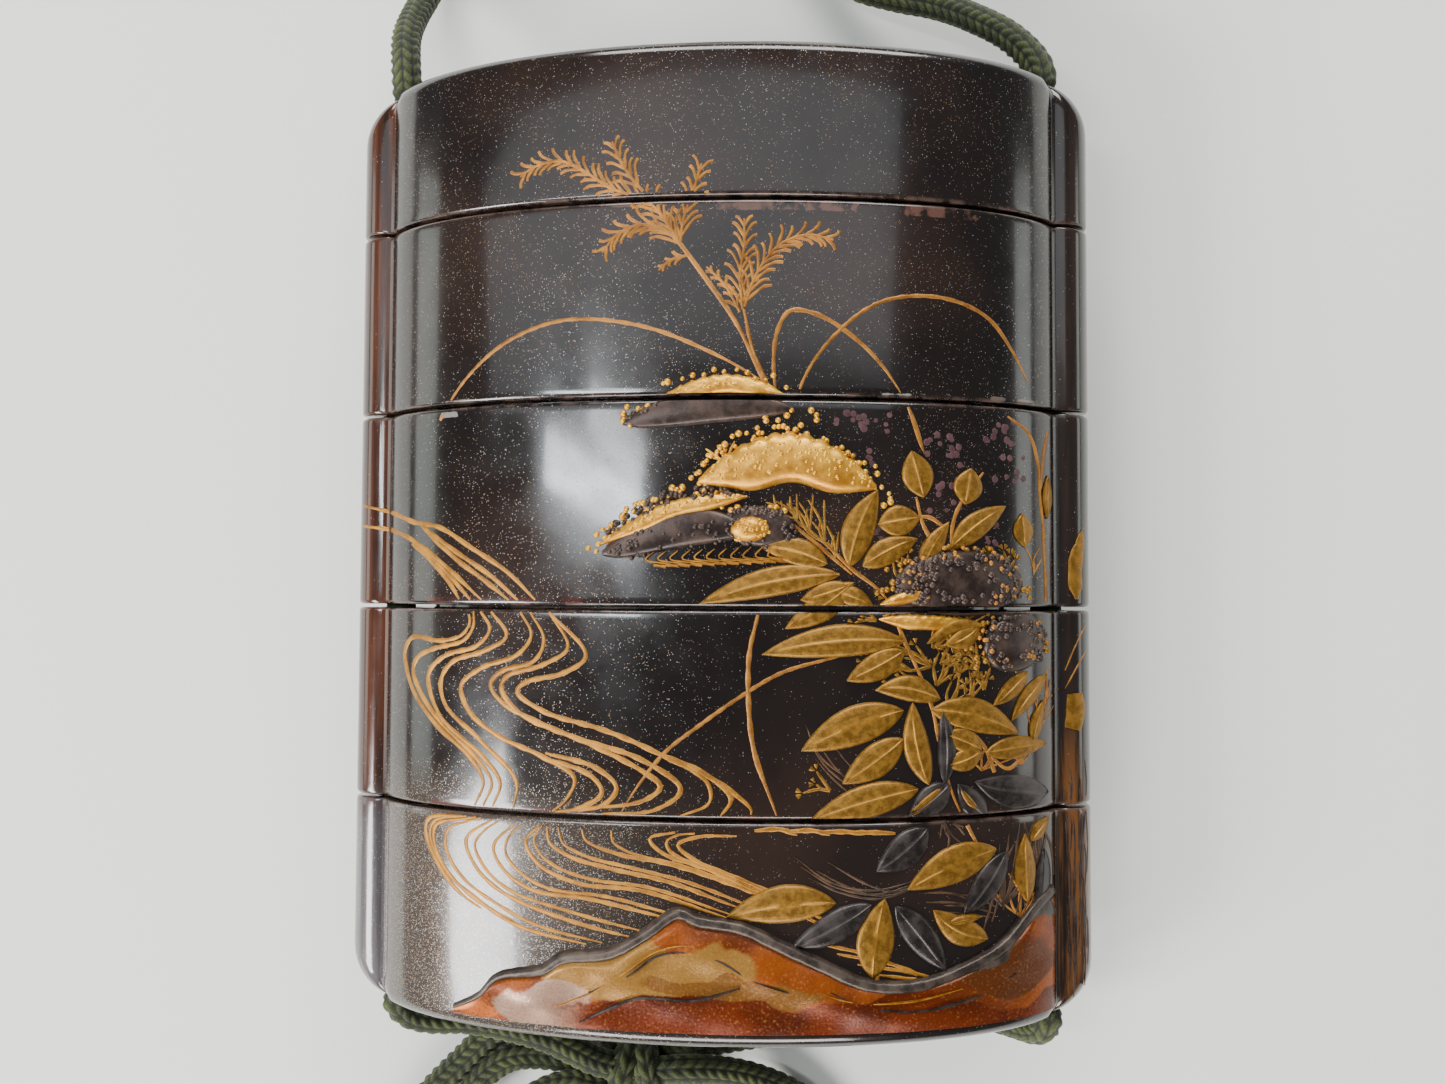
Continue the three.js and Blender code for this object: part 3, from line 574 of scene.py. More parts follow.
for name in ("cord_run_left", "cord_run_right"):
    bpy.data.objects[name].data.materials.clear()
    bpy.data.objects[name].data.materials.append(olive)


# Tiers
def face_offset(x):
    return HALF_DEPTH * np.sqrt(np.maximum(0, 1 - (np.asarray(x, float) / FACE_HALF_WIDTH) ** 2))


def surface_height(x):
    """Height of the front at x, on across the groove onto the side bands."""
    x = np.abs(np.asarray(x, float))
    band = np.sqrt(np.maximum(0, BAND_RADIUS ** 2 - (np.maximum(x, BAND_START_X) - BAND_CENTRE_X) ** 2))
    return MID_Z + np.where(x <= FACE_EDGE_X, face_offset(np.minimum(x, FACE_EDGE_X)), band)


FRONT_STEPS = 150
BAND_STEPS = 20
SIDE_STEPS = 22
SIDE_MARGIN = 0.7
END_HEIGHT = 5.2
END_STEPS = 9
MOUTH_RADIUS = 2.05
MIDDLE_MOUTH_RADIUS = 1.8
CHANNEL_REACH = 60
CHANNEL_STEPS = 28
SHARP_EDGE = math.radians(38)


def section():
    """The outline in one turn, anticlockwise from the right end of the front."""
    edge = math.acos(FACE_EDGE_X / FACE_HALF_WIDTH)
    turn = edge + (math.pi - 2 * edge) * np.arange(FRONT_STEPS + 1) / FRONT_STEPS
    front = np.column_stack([FACE_HALF_WIDTH * np.cos(turn), HALF_DEPTH * np.sin(turn)])
    start = math.acos((BAND_START_X - BAND_CENTRE_X) / BAND_RADIUS)
    turn = start * (1 - 2 * np.arange(BAND_STEPS + 1) / BAND_STEPS)
    band = np.column_stack([BAND_CENTRE_X + BAND_RADIUS * np.cos(turn), BAND_RADIUS * np.sin(turn)])
    low = float(face_offset(FACE_EDGE_X)) - GROOVE_DEPTH
    groove = np.array([(FACE_EDGE_X + x, low + z) for x, z in ((0.06, 0.08), (0.22, -0.04), (0.5, -0.2))])
    return np.vstack([
        front, groove * (-1, 1), band * (-1, 1), (groove * (-1, -1))[::-1],
        front * (-1, -1), groove * (1, -1), band[::-1], groove[::-1],
    ])


SECTION = section()
COUNT = len(SECTION)
UNIT = SECTION / (CASE_WIDTH, CASE_DEPTH)
UNIT = UNIT / np.linalg.norm(UNIT, axis=1)[:, None]
TURN = np.arctan2(SECTION[:, 1] / HALF_DEPTH, SECTION[:, 0] / (CASE_WIDTH / 2))


def at_height(xz, y):
    y = np.broadcast_to(y, len(xz))
    return np.column_stack([xz[:, 0], y, np.maximum(0, MID_Z + xz[:, 1])])


def side_ring(y, shrink=0.0):
    return at_height(SECTION - UNIT * shrink, y)


def oval_ring(y, grow, scale=1.0):
    power = 2 / COMPARTMENT_POWER
    cos, sin = np.cos(TURN), np.sin(TURN)
    x = (COMPARTMENT_HALF_WIDTH + grow) * np.sign(cos) * np.abs(cos) ** power * scale
    z = (HALF_DEPTH - WALL_THICKNESS + grow) * np.sign(sin) * np.abs(sin) ** power * scale
    return at_height(np.column_stack([x, z]), y)


def end_drop(x, z):
    return END_DROP_AT_SIDES * (2 * x / CASE_WIDTH) ** 2 + END_DROP_AT_FACE * (z / HALF_DEPTH) ** 2


def end_ring(end_y, direction, turn):
    """One ring of a rounded end: turn 0 is where the rounding starts and 1 is on the end face."""
    angle = turn * math.pi / 2
    x, z = SECTION[:, 0], SECTION[:, 1]
    beyond = np.maximum(0, np.abs(x) - (CASE_WIDTH / 2 - SHOULDER_ROUND))
    rounding = RIM_ROUND + (SHOULDER_ROUND - RIM_ROUND) * beyond / SHOULDER_ROUND
    slope = np.minimum(1, np.abs(z) / (2 * RIM_ROUND))
    in_x = x - np.sign(x) * beyond * (1 - math.cos(angle))
    in_z = z - np.sign(z) * RIM_ROUND * slope * (1 - math.cos(angle))
    drop = end_drop(in_x, in_z) + rounding * (1 - math.sin(angle))
    return at_height(np.column_stack([in_x, in_z]), end_y - direction * drop)


def end_rings(end_y, direction):
    """From the side to the middle of a rounded end."""
    rings = [end_ring(end_y, direction, i / END_STEPS) for i in range(END_STEPS + 1)]
    edge = rings[-1]
    for scale in (0.94, 0.86, 0.75, 0.6, 0.45, 0.3, 0.15):
        x, z = edge[:, 0] * scale, (edge[:, 2] - MID_Z) * scale
        rings.append(at_height(np.column_stack([x, z]), end_y - direction * end_drop(x, z)))
    return rings


def seam_rings(y, direction):
    """A seam's rounded outer edge, from the side to the seam face."""
    profile = ((0.32, 0), (0.2, 0.015), (0.1, 0.06), (0.03, 0.13), (0, 0.22))
    return [side_ring(y - direction * inward, shrink) for inward, shrink in profile]


def rim_rings(top, floor):
    """The raised rim and the inside of a compartment, from the seam face to the floor."""
    rim = top + RIM_HEIGHT
    rings = [oval_ring(top, RIM_WALL + 0.1), oval_ring(top + 0.1, RIM_WALL), oval_ring(rim - 0.2, RIM_WALL)]
    rings += [oval_ring(rim, RIM_WALL - 0.2), oval_ring(rim, 0.2), oval_ring(rim - 0.2, 0)]
    return rings + bowl_rings(floor, 1)


def bowl_rings(floor, direction):
    """A flat floor with a small fillet, from the wall to its middle."""
    rings = [oval_ring(floor + direction * d, -g) for d, g in ((1, 0), (0.5, 0.13), (0.13, 0.5), (0, 1))]
    return rings + [oval_ring(floor, -1, scale) for scale in (0.7, 0.35)]


def recess_rings(bottom):
    """The recess under a tier that takes the rim below, from the seam face to its middle."""
    grow = RIM_WALL + RIM_CLEARANCE
    top = bottom + RIM_HEIGHT + SEAM_GAP + RIM_CLEARANCE
    rings = [oval_ring(bottom, grow + 0.15), oval_ring(bottom + 0.15, grow), oval_ring(top, grow)]
    return rings + [oval_ring(top, grow, scale) for scale in (0.7, 0.35)]


def side_rings(low, high):
    """Rings up the side."""
    return [side_ring(y) for y in np.linspace(low, high, SIDE_STEPS)]


def shell(name, rings, rounded_end=False):
    """A closed skin through the rings, from a middle point to a middle point, with the channels cut."""
    points = np.vstack(rings + [rings[0].mean(0)[None], rings[-1].mean(0)[None]])
    faces = capped_faces(len(rings), COUNT)
    obj = new_object(name, points, faces, [lacquer, inside_lacquer])
    turn_faces_out(obj.data)
    return cut(obj, channel_cutter, rounded_end)


def channel_rods():
    """Two round rods where the cord runs, widened softly at the two ends of the case."""
    mouth = [(-CHANNEL_REACH, MOUTH_RADIUS), (0.35 - TOP_Y, MOUTH_RADIUS), (0.8 - TOP_Y, MIDDLE_MOUTH_RADIUS)]
    profile = mouth + [(1.5 - TOP_Y, CHANNEL_RADIUS)]
    profile = profile + [(-y, radius) for y, radius in reversed(profile)]
    points, faces = [], []
    around = CHANNEL_STEPS
    for x in (-CHANNEL_X, CHANNEL_X):
        start = len(points)
        for y, radius in profile:
            for i in range(around):
                angle = 2 * math.pi * i / around
                points.append((x + radius * math.cos(angle), y, MID_Z + radius * math.sin(angle)))
        faces += ring_faces(len(profile), around, start)
        faces.append(tuple(start + i for i in range(around)))
        faces.append(tuple(len(points) - 1 - i for i in range(around)))
    obj = plain_object("channels", points, faces)
    turn_faces_out(obj.data)
    return obj


def cut(obj, cutter, rounded_end):
    """Cuts the cutter out of the object's mesh."""
    modifier = obj.modifiers.new("cut", "BOOLEAN")
    modifier.operation = "DIFFERENCE"
    modifier.solver = "EXACT"
    modifier.use_self = rounded_end
    modifier.object = cutter
    graph = bpy.context.evaluated_depsgraph_get()
    mesh = bpy.data.meshes.new_from_object(obj.evaluated_get(graph))
    obj.modifiers.clear()
    obj.data = mesh
    mesh.polygons.foreach_set("use_smooth", [True] * len(mesh.polygons))
    mesh.set_sharp_from_angle(angle=SHARP_EDGE)
    return obj


def seam_low(seam):
    return seam + SEAM_GAP / 2


def seam_high(seam):
    return seam - SEAM_GAP / 2


def middle_case(name, low_seam, high_seam):
    bottom, top = seam_low(low_seam), seam_high(high_seam)
    floor = bottom + RIM_HEIGHT + SEAM_GAP + RIM_CLEARANCE + FLOOR_THICKNESS
    rings = recess_rings(bottom)[::-1] + seam_rings(bottom, -1)[::-1]
    rings += side_rings(bottom + SIDE_MARGIN, top - SIDE_MARGIN) + seam_rings(top, 1) + rim_rings(top, floor)
    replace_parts(shell(name + "_body", rings), name)


channel_cutter = channel_rods()
middle_case("case_1", SEAMS[1], SEAMS[0])
middle_case("case_2", SEAMS[2], SEAMS[1])
middle_case("case_3", SEAMS[3], SEAMS[2])

bottom = seam_low(SEAMS[0])
rings = bowl_rings(TOP_Y - LID_TOP_THICKNESS, -1)[::-1] + [oval_ring(bottom + RIM_HEIGHT + 0.6, 0)]
rings += recess_rings(bottom)[:3][::-1] + seam_rings(bottom, -1)[::-1]
rings += side_rings(bottom + SIDE_MARGIN, TOP_Y - END_HEIGHT) + end_rings(TOP_Y, 1)
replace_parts(shell("lid_body", rings, True), "lid")

top = seam_high(SEAMS[3])
floor = -TOP_Y + END_DROP_AT_SIDES + END_DROP_AT_FACE + FLOOR_THICKNESS
rings = end_rings(-TOP_Y, -1)[::-1] + side_rings(-TOP_Y + END_HEIGHT, top - SIDE_MARGIN)
rings += seam_rings(top, 1) + rim_rings(top, floor)
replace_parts(shell("base_body", rings, True), "base_case")
bpy.data.objects.remove(channel_cutter)


# Ornament in relief. Places are in millimetres on the face, heights above the lacquer
FINE_LINE = 0.5
BEAD_SIDES = 8
SEAM_CLEARANCE = 0.12


class Relief:
    """Closed low bodies on the front, all of one material, gathered in one mesh."""

    def __init__(self, name, material, slot):
        self.name, self.material, self.slot = name, material, slot
        self.points, self.faces, self.tones = [], [], []

    def grid(self, x, y, height, tone=None, root=0.2):
        """A patch of rows and columns with its skirt and its underside."""
        rows, columns = x.shape
        base = surface_height(x)
        top = np.stack([x, y, base + height], -1).reshape(-1, 3)
        under = np.stack([x, y, base - root], -1).reshape(-1, 3)
        start, size = len(self.points), rows * columns
        self.points += list(top) + list(under)
        tone = np.zeros(x.shape) if tone is None else tone
        self.tones += list(tone.reshape(-1)) * 2
        for i in range(rows - 1):
            for j in range(columns - 1):
                a = start + i * columns + j
                quad = (a, a + 1, a + columns + 1, a + columns)
                self.faces += [quad, tuple(v + size for v in reversed(quad))]
        rim = list(range(columns)) + [i * columns + columns - 1 for i in range(1, rows)]
        rim += [(rows - 1) * columns + j for j in range(columns - 2, -1, -1)]
        rim += [i * columns for i in range(rows - 2, 0, -1)]
        for a, b in zip(rim, rim[1:] + rim[:1]):
            self.faces.append((start + b, start + a, start + a + size, start + b + size))

    def ribbon(self, points, width=0.3, height=0.06, taper=(0.5, 0.4), step=0.3):
        """A raised line along a smooth curve, thinner at its ends."""
        for run in between_seams(smooth_flat(points, step)):
            along = np.gradient(run, axis=0)
            along /= np.maximum(np.linalg.norm(along, axis=1), 1e-9)[:, None]
            across = np.column_stack([-along[:, 1], along[:, 0]])
            share = np.linspace(0, 1, len(run))
            start, end = taper
            narrowing = np.minimum(start + share * 5 * (1 - start), end + (1 - share) * 5 * (1 - end))
            profile = np.minimum(1, narrowing)
            uneven = 1 + (0.14 if width < FINE_LINE else 0.05) * np.sin(run[:, 0] * 5.1 + run[:, 1] * 3.7)
            half = (width / 2 * profile * uneven)[:, None]
            offsets = np.array([-1, -0.5, 0.5, 1]) if width < FINE_LINE else np.linspace(-1, 1, 11)
            x = run[:, :1] + across[:, :1] * half * offsets
            y = run[:, 1:] + across[:, 1:] * half * offsets
            swell = np.where(np.abs(offsets) == 1, 0.15, (1 - np.abs(offsets) ** 3 * 0.6) ** 0.8)
            self.grid(x, y, np.broadcast_to(height * swell, x.shape), root=0.08)

    def leaf(self, tip, base, width, bend=0.0, height=0.4, fullness=0.85):
        """A leaf with a raised middle vein, fine veins and lighter edges."""
        base, axis, side = line_frame(base, tip)
        u = np.linspace(0.0, 1.0, 25)[:, None]
        v = np.linspace(-1, 1, 17)[None, :]
        half = width / 2 * np.sin(np.pi * np.clip(u, 0.004, 0.996) ** fullness) ** 0.8
        middle = base + axis * u[..., None] + side * (bend * 4 * u * (1 - u))[..., None]
        x = middle[..., 0] + side[0] * half * v
        y = middle[..., 1] + side[1] * half * v
        swell = np.sqrt(np.maximum(0, 1 - np.abs(v) ** 2.4)) * np.sin(np.pi * np.clip(u, 0.02, 0.98)) ** 0.35
        lines = 0.02 * np.cos(np.pi * v * 7) * np.sin(np.pi * u) ** 0.5
        spine = np.exp(-(v / 0.09) ** 2) * 0.07
        light = np.clip(0.25 * np.abs(v) ** 14 + spine * 9 + 0.25 * np.cos(np.pi * v * 7) ** 8, 0, 1)
        whole = np.ones_like(x)
        self.grid(x, y, 0.03 + height * swell * 0.8 + lines + spine * whole, tone=light * whole)

    def crescent(self, left, right, arch, thick, height, knobs=0.0, lean=0.5):
        """A flower head: a bowed body from its left to its right end, with an uneven studded surface."""
        left, axis, up = line_frame(left, right)
        u = np.linspace(0, 1, 61)[:, None]
        v = np.linspace(-1, 1, 19)[None, :]
        half = thick / 2 * np.sin(np.pi * np.clip(u, 0.01, 0.99)) ** 0.6
        scallop = 1 + knobs * 0.5 * np.abs(np.sin(u * 34)) * (v > 0)
        scallop = scallop - knobs * 0.5 * (1 + np.sin(u * 13 + 1)) * (v < 0)
        middle = left + axis * u[..., None] + up * (arch * np.sin(np.pi * u ** (1 + 0.2 * lean)))[..., None]
        x = middle[..., 0] + up[0] * half * v * scallop
        y = middle[..., 1] + up[1] * half * v * scallop
        swell = np.sqrt(np.maximum(0, 1 - np.abs(v) ** 2.2)) * np.sin(np.pi * np.clip(u, 0.01, 0.99)) ** 0.4
        bumps = np.maximum(0, np.sin(u * 47 + v * 2)) * np.maximum(0, np.sin(v * 9 + 1)) * (v > -0.1)
        bumps = knobs * 0.35 * bumps
        self.grid(x, y, 0.04 + height * swell + bumps * swell, tone=np.clip(v * 0.8, 0, 1) * np.ones_like(x))

    def mound(self, x, y, wide, tall, height, turn=0.0):
        """A low oval dome."""
        u = np.linspace(-1, 1, 25)[:, None]
        v = np.linspace(-1, 1, 25)[None, :]
        round_x = u * np.sqrt(1 - v * v / 2)
        round_y = v * np.sqrt(1 - u * u / 2)
        away = np.minimum(1, np.hypot(round_x, round_y))
        px, py = turned(x, y, wide / 2 * round_x, tall / 2 * round_y, turn)
        self.grid(px, py, 0.03 + height * (1 - away ** 2.4) ** 0.6)

    def studs(self, left, right, arch, thick, height, count, radius, low, high, lean=0.5):
        """Beads strewn over the part of a flower head between two levels."""
        left, axis, up = line_frame(left, right)
        for _ in range(count):
            u, v = float(rng.uniform(0.03, 0.97)), float(rng.uniform(low, high))
            half = thick / 2 * math.sin(math.pi * u) ** 0.6
            spot = left + axis * u + up * (arch * math.sin(math.pi * u ** (1 + 0.2 * lean)) + half * v)
            swell = math.sqrt(max(0, 1 - min(1, abs(v)) ** 2.2)) * math.sin(math.pi * u) ** 0.4
            self.dot(float(spot[0]), float(spot[1]), radius * float(rng.uniform(0.7, 1.2)), height * swell)

    def dome_studs(self, x, y, wide, tall, height, count, radius, turn=0.0, low=0.0):
        """Beads strewn over an oval dome, from its middle or a belt of it."""
        for _ in range(count):
            away, angle = math.sqrt(float(rng.uniform(low, 1.0))), float(rng.uniform(0, 2 * math.pi))
            px, py = turned(x, y, wide / 2 * away * math.cos(angle), tall / 2 * away * math.sin(angle), turn)
            lift = height * max(0, 1 - away ** 2.4) ** 0.6
            self.dot(px, py, radius * float(rng.uniform(0.7, 1.2)), lift)

    def dot(self, x, y, radius=0.22, lift_by=0.0):
        """A small round bead of raised lacquer."""
        if min(abs(y - seam) for seam in SEAMS) < radius + SEAM_GAP:
            return
        start, around = len(self.points), BEAD_SIDES
        base = float(surface_height(x)) + lift_by
        for ring, lift in ((1.0, -0.1), (1.0, 0.05), (0.75, 0.6 * radius), (0.35, 0.85 * radius)):
            for i in range(around):
                angle = 2 * math.pi * i / around
                cos, sin = math.cos(angle), math.sin(angle)
                self.points.append((x + radius * ring * cos, y + radius * ring * sin, base + lift))
        self.tones += [0.6] * (4 * around)
        self.faces += ring_faces(4, around, start)
        self.faces.append(tuple(start + i for i in reversed(range(around))))
        self.faces.append(tuple(start + 3 * around + i for i in range(around)))

    def make(self):
        """The mesh, parted at the seams with closed cuts."""
        obj = new_object(self.name, self.points, self.faces, [self.material])
        layer = obj.data.attributes.new("tone", "FLOAT", "POINT")
        layer.data.foreach_set("value", self.tones)
        mesh = bmesh.new()
        mesh.from_mesh(obj.data)
        margin = SEAM_GAP / 2 + SEAM_CLEARANCE
        for seam in SEAMS:
            for y in (seam - margin, seam + margin):
                geometry = mesh.verts[:] + mesh.edges[:] + mesh.faces[:]
                place = (0, y * MM, 0)
                bmesh.ops.bisect_plane(mesh, geom=geometry, plane_co=place, plane_no=(0, 1, 0), dist=1e-8)
            low, high = (seam - margin) * MM, (seam + margin) * MM
            gone = [f for f in mesh.faces if low < f.calc_center_median().y < high]
            bmesh.ops.delete(mesh, geom=gone, context="FACES")
        edges = [e for e in mesh.edges if e.is_boundary]
        bmesh.ops.holes_fill(mesh, edges=edges, sides=0)
        bmesh.ops.recalc_face_normals(mesh, faces=mesh.faces)
        mesh.to_mesh(obj.data)
        mesh.free()
        obj.data.set_sharp_from_angle(angle=math.radians(60))
        return obj


def line_frame(start, end):
    """A line's start, its run, and the unit vector to its left."""
    start, end = np.array(start, float), np.array(end, float)
    run = end - start
    return start, run, np.array([-run[1], run[0]]) / np.linalg.norm(run)


def turned(x, y, px, py, turn):
    """The place x, y plus px, py turned by so many degrees."""
    cos, sin = math.cos(math.radians(turn)), math.sin(math.radians(turn))
    return x + px * cos - py * sin, y + px * sin + py * cos


def smooth_flat(points, step):
    line, _ = smooth_route([(x, y, 0) for x, y in points], step)
    return line[:, :2]


def between_seams(line):
    """The parts of a line that lie on a tier, clear of the seams."""
    runs, run = [], []
    for point in line:
        if min(abs(point[1] - seam) for seam in SEAMS) < SEAM_GAP / 2 + 0.2:
            runs.append(run)
            run = []
        else:
            run.append(point)
    return [np.array(r) for r in runs + [run] if len(r) > 2]


def blend(one, two, share):
    """A line part way between two lines."""
    even = np.linspace(0, 1, 40)
    ends = []
    for line in (smooth_flat(one, 0.3), smooth_flat(two, 0.3)):
        along = np.linspace(0, 1, len(line))
        ends.append(np.column_stack([np.interp(even, along, line[:, k]) for k in (0, 1)]))
    mixed = ends[0] * (1 - share) + ends[1] * share
    return [tuple(point) for point in mixed[::3]]


lines = Relief("stream_lines", line_gold, "gold_ornament")
stems = Relief("grass_stems", copper_gold, "gold_ornament")
leaves = Relief("gold_leaves", leaf_gold, "gold_ornament")
dark_leaves = Relief("pewter_leaves", pewter, "dark_ornament")
heads = Relief("flower_heads", bright_gold, "gold_ornament")
dark_heads = Relief("dark_flowers", dusk, "dark_ornament")
beads = Relief("beads", bright_gold, "gold_ornament")
rocks = Relief("rocks", rock, "gold_ornament")
rock_rim = Relief("rock_rim", stone, "dark_ornament")
flakes = Relief("flakes", flake, "dark_ornament")
blades = Relief("dark_grass", blade, "dark_ornament")

# The stream, as nested lines on each of the three lower tiers
STREAM_3 = [
    [(-29.4, 2.9), (-26.1, 2.1), (-23.8, 1.3), (-21.3, 0.8), (-18.5, -0.8), (-15.4, -2.7), (-12.9, -5)],
    [(-23.2, 1.1), (-20, -1), (-16.9, -2.9), (-14.3, -5)],
    [(-23, 0.9), (-19.9, -1.6), (-17.2, -3.4), (-15, -5)],
    [(-29.4, 1.2), (-26.1, 0.7), (-23.8, -0.2), (-20.9, -2.1), (-17.3, -5)],
    [(-23.8, -0.3), (-21.4, -2), (-18.3, -5)],
    [(-24, -0.4), (-22.3, -1.6), (-20.6, -3.2), (-19.3, -5)],
]
STREAM_4 = [
    [(-18.7, -5.7), (-18.5, -6.5), (-19.2, -7.5), (-21.1, -8), (-23.8, -7.8), (-24.6, -8.9), (-24.4, -10.2),
     (-23.6, -12.1), (-21.3, -14.6), (-18.5, -16.7), (-17.2, -18.6), (-17.9, -20.4)],
    [(-18.2, -5.7), (-18.2, -6.8), (-19, -7.9), (-21.6, -8.6), (-23.2, -9.3), (-23.7, -10.3), (-23, -12),
     (-21.1, -14.2), (-18, -16.7), (-16.5, -18.6), (-17.2, -20.4)],
    [(-17.6, -5.7), (-16.8, -7), (-17.9, -8.3), (-20.6, -9.1), (-22.1, -10.4), (-22.1, -11.7), (-20.9, -14),
     (-17.3, -16.7), (-15.8, -18.6), (-16.4, -20.4)],
    [(-16.7, -5.7), (-15.4, -7.5), (-17.3, -8.7), (-20, -9.6), (-21, -11), (-20.6, -12.9), (-17.5, -15.5),
     (-14.5, -18.4), (-14.7, -20.4)],
    [(-14.3, -5.7), (-13.4, -7.4), (-14.5, -8.9), (-17.5, -10), (-19.2, -11.4), (-18.5, -13.3),
     (-16.2, -15), (-12.4, -16.5), (-9.9, -18), (-10.5, -19.5), (-11.6, -20.5)],
    [(-13.5, -5.7), (-12.4, -7.7), (-13.1, -9.3), (-15.8, -10.2), (-16.7, -11.2), (-15.8, -12.5),
     (-13.1, -13.8), (-8.6, -15.5), (-4.8, -17.3), (-3.4, -18.4), (-4.8, -19.5), (-9.5, -20.2)],
    [(-12, -5.7), (-10.5, -8.3), (-12.4, -9.6), (-15.4, -10.6), (-15.8, -11.5), (-14.3, -13.3),
     (-10.5, -14.8), (-4.8, -16.5), (-1.9, -18.6), (-3.8, -20.1), (-7.8, -20.5)],
    [(-12, -5.7), (-9.1, -8.9), (-10.8, -10.2), (-13.9, -11), (-14.5, -11.7), (-12.4, -13.1), (-7.6, -14.4),
     (-3.8, -15.9), (0, -18), (0.2, -19.5), (-1.9, -20.5)],
    [(-3.8, -15.9), (0, -17.5), (1.8, -19.2), (1, -20.5)],
    [(-1, -17), (1.7, -18.6), (3.3, -20.1), (3.1, -20.6)],
    [(-12.4, -16.5), (-8.6, -17.8), (-7.8, -19), (-9.6, -20.2), (-11.4, -20.5)],
    [(-12.2, -16.2), (-8.2, -17.2), (-6.7, -18.6), (-7.6, -19.8), (-9.6, -20.4)],
]
STREAM_5 = [
    [(-19, -21.3), (-22, -21.8), (-22.2, -23.1), (-20.9, -25.4), (-19, -27.2), (-17.3, -28.1)],
    [(-17.8, -21.3), (-21.4, -22.3), (-21.3, -24), (-20, -25.9), (-17.7, -27.4), (-14.3, -29.1),
     (-8.9, -30.1)],
    [(-16.5, -21.4), (-18.6, -23), (-17.7, -25.1), (-15.4, -26.8), (-10.4, -28.4), (-5.1, -29.5)],
    [(-14.7, -21.6), (-16.3, -23.4), (-15.4, -25.1), (-13.1, -26.4), (-8.6, -26.8), (-2.5, -28)],
    [(-12.6, -21.6), (-13.7, -22.8), (-12.6, -24.5), (-9.5, -25.7), (-4.8, -26), (1.5, -27.8)],
    [(-12, -21.6), (-11.8, -22.8), (-10.1, -23.8), (-7.1, -24.5), (-2.8, -25.3), (2.2, -27)],
    [(-9.3, -21.7), (-9, -22.5), (-6.6, -23.4), (-2.8, -24), (2.2, -25.5), (7, -27.4)],
    [(-2.3, -21.7), (-4.2, -22.2), (-3.3, -23.2), (0, -24.3), (4, -26), (8, -28.2)],
    [(2.2, -21.9), (-0.6, -22), (-2.1, -22.6), (-1, -23.6), (2.2, -24.9), (7, -27), (10, -29)],
]
for line in STREAM_3 + STREAM_4:
    lines.ribbon(line, 0.38)
for one, two in zip(STREAM_5, STREAM_5[1:]):
    lines.ribbon(one, 0.32)
    lines.ribbon(blend(one, two, 0.32), 0.26)
lines.ribbon(STREAM_5[-1], 0.3)
for i in range(4):
    along = 2.4 * i
    dash = [(3.5 + along, -21.5 - 0.05 * i), (5.4 + along, -21.4 - 0.1 * i), (6.6 + along, -21.8)]
    lines.ribbon(dash, 0.35)
    start, middle = (8 + 1.5 * i, -29.6 - 0.8 * i), (12 + 1.6 * i, -30.6 - 0.7 * i)
    lines.ribbon([start, middle, (15.4 + 0.8 * i, -32.2 - 0.2 * i)], 0.26)

# Long grass
GRASS = [
    [(-21.4, 9.2), (-21, 9.9), (-18.9, 12.5), (-15.7, 14.9), (-11.2, 16.3), (-5.2, 15.7), (0.2, 13.6),
     (4.5, 11.2)],
    [(4.9, 10.8), (4.8, 13.2), (5.1, 15.3), (6, 16.7), (8.2, 16.4), (11.9, 13.8), (14.6, 10.1), (16, 6.3)],
    [(6.4, 9.4), (7, 11.6), (9, 14.6), (12.7, 17.5), (17.2, 18.1), (20.9, 16.9), (23, 14.5), (24.3, 12.3)],
    [(3.7, -5.8), (3.1, -8.5), (3, -11), (3.4, -15.5), (5.1, -20.4)],
    [(9.6, -8.8), (5.5, -10), (2.7, -11.6), (-0.7, -14), (-3.1, -15.9), (-5.1, -18.4), (-6.3, -20.3)],
]
for line, width in zip(GRASS, (0.3, 0.34, 0.3, 0.36, 0.3)):
    stems.ribbon(line, width, taper=(0.7, 0.3))


# How far a stroke of a seed head goes forward and outward, as shares of its length
STROKE = ((0, 0), (0.5, 0.26), (0.86, 0.52), (1, 0.8))


def plume(points, reach):
    """A feathery seed head: a stem with close curved strokes along both sides."""
    stems.ribbon(points, 0.24, taper=(1, 0.6))
    line = smooth_flat(points, 0.1)
    count = max(3, int(len(line) / 8))
    for i in range(1, count + 1):
        at = int((len(line) - 3) * (i - 0.4) / count)
        here, along = line[at], line[at + 2] - line[at]
        along = along / np.linalg.norm(along)
        size = reach * (0.88 + 0.12 * math.sin(i * 2.1)) * (1 - 0.45 * i / count)
        for turn in (-1, 1):
            across = np.array([-along[1], along[0]]) * turn
            stroke = [here + (along * forward + across * out) * size for forward, out in STROKE]
            stems.ribbon(stroke, 0.24, 0.05, (0.7, 0.95), 0.16)


PLUMES = [
    ([(-2.2, 21.8), (-3.2, 23.4), (-4.5, 24.9), (-7.5, 26.2), (-9.6, 27.6), (-11.4, 28.5), (-13.4, 28.3),
      (-14.7, 27.6)], 1.9),
    ([(-5, 25.8), (-6, 27), (-6.8, 28.3), (-7.4, 29.7)], 1.9),
    ([(-2.2, 21.8), (-1.9, 23.8), (-1.2, 25.8), (-0.6, 27.8)], 1.9),
    ([(-2, 21.5), (-3.4, 22.9), (-5.2, 23.3), (-7, 22.6), (-8.1, 21.3)], 1.9),
    ([(-1.6, 20.9), (-2.8, 20.6), (-3.8, 19.8)], 0.8),
    ([(2.3, 16.6), (1.2, 18.6), (-0.2, 20)], 0.9),
    ([(2.5, 16.8), (2.3, 19.4), (2.6, 21.6), (2.6, 23.6)], 1.9),
    ([(2.6, 17), (3.6, 19.6), (5.2, 21.6), (7.2, 22.4), (9.2, 22.1)], 1.9),
]
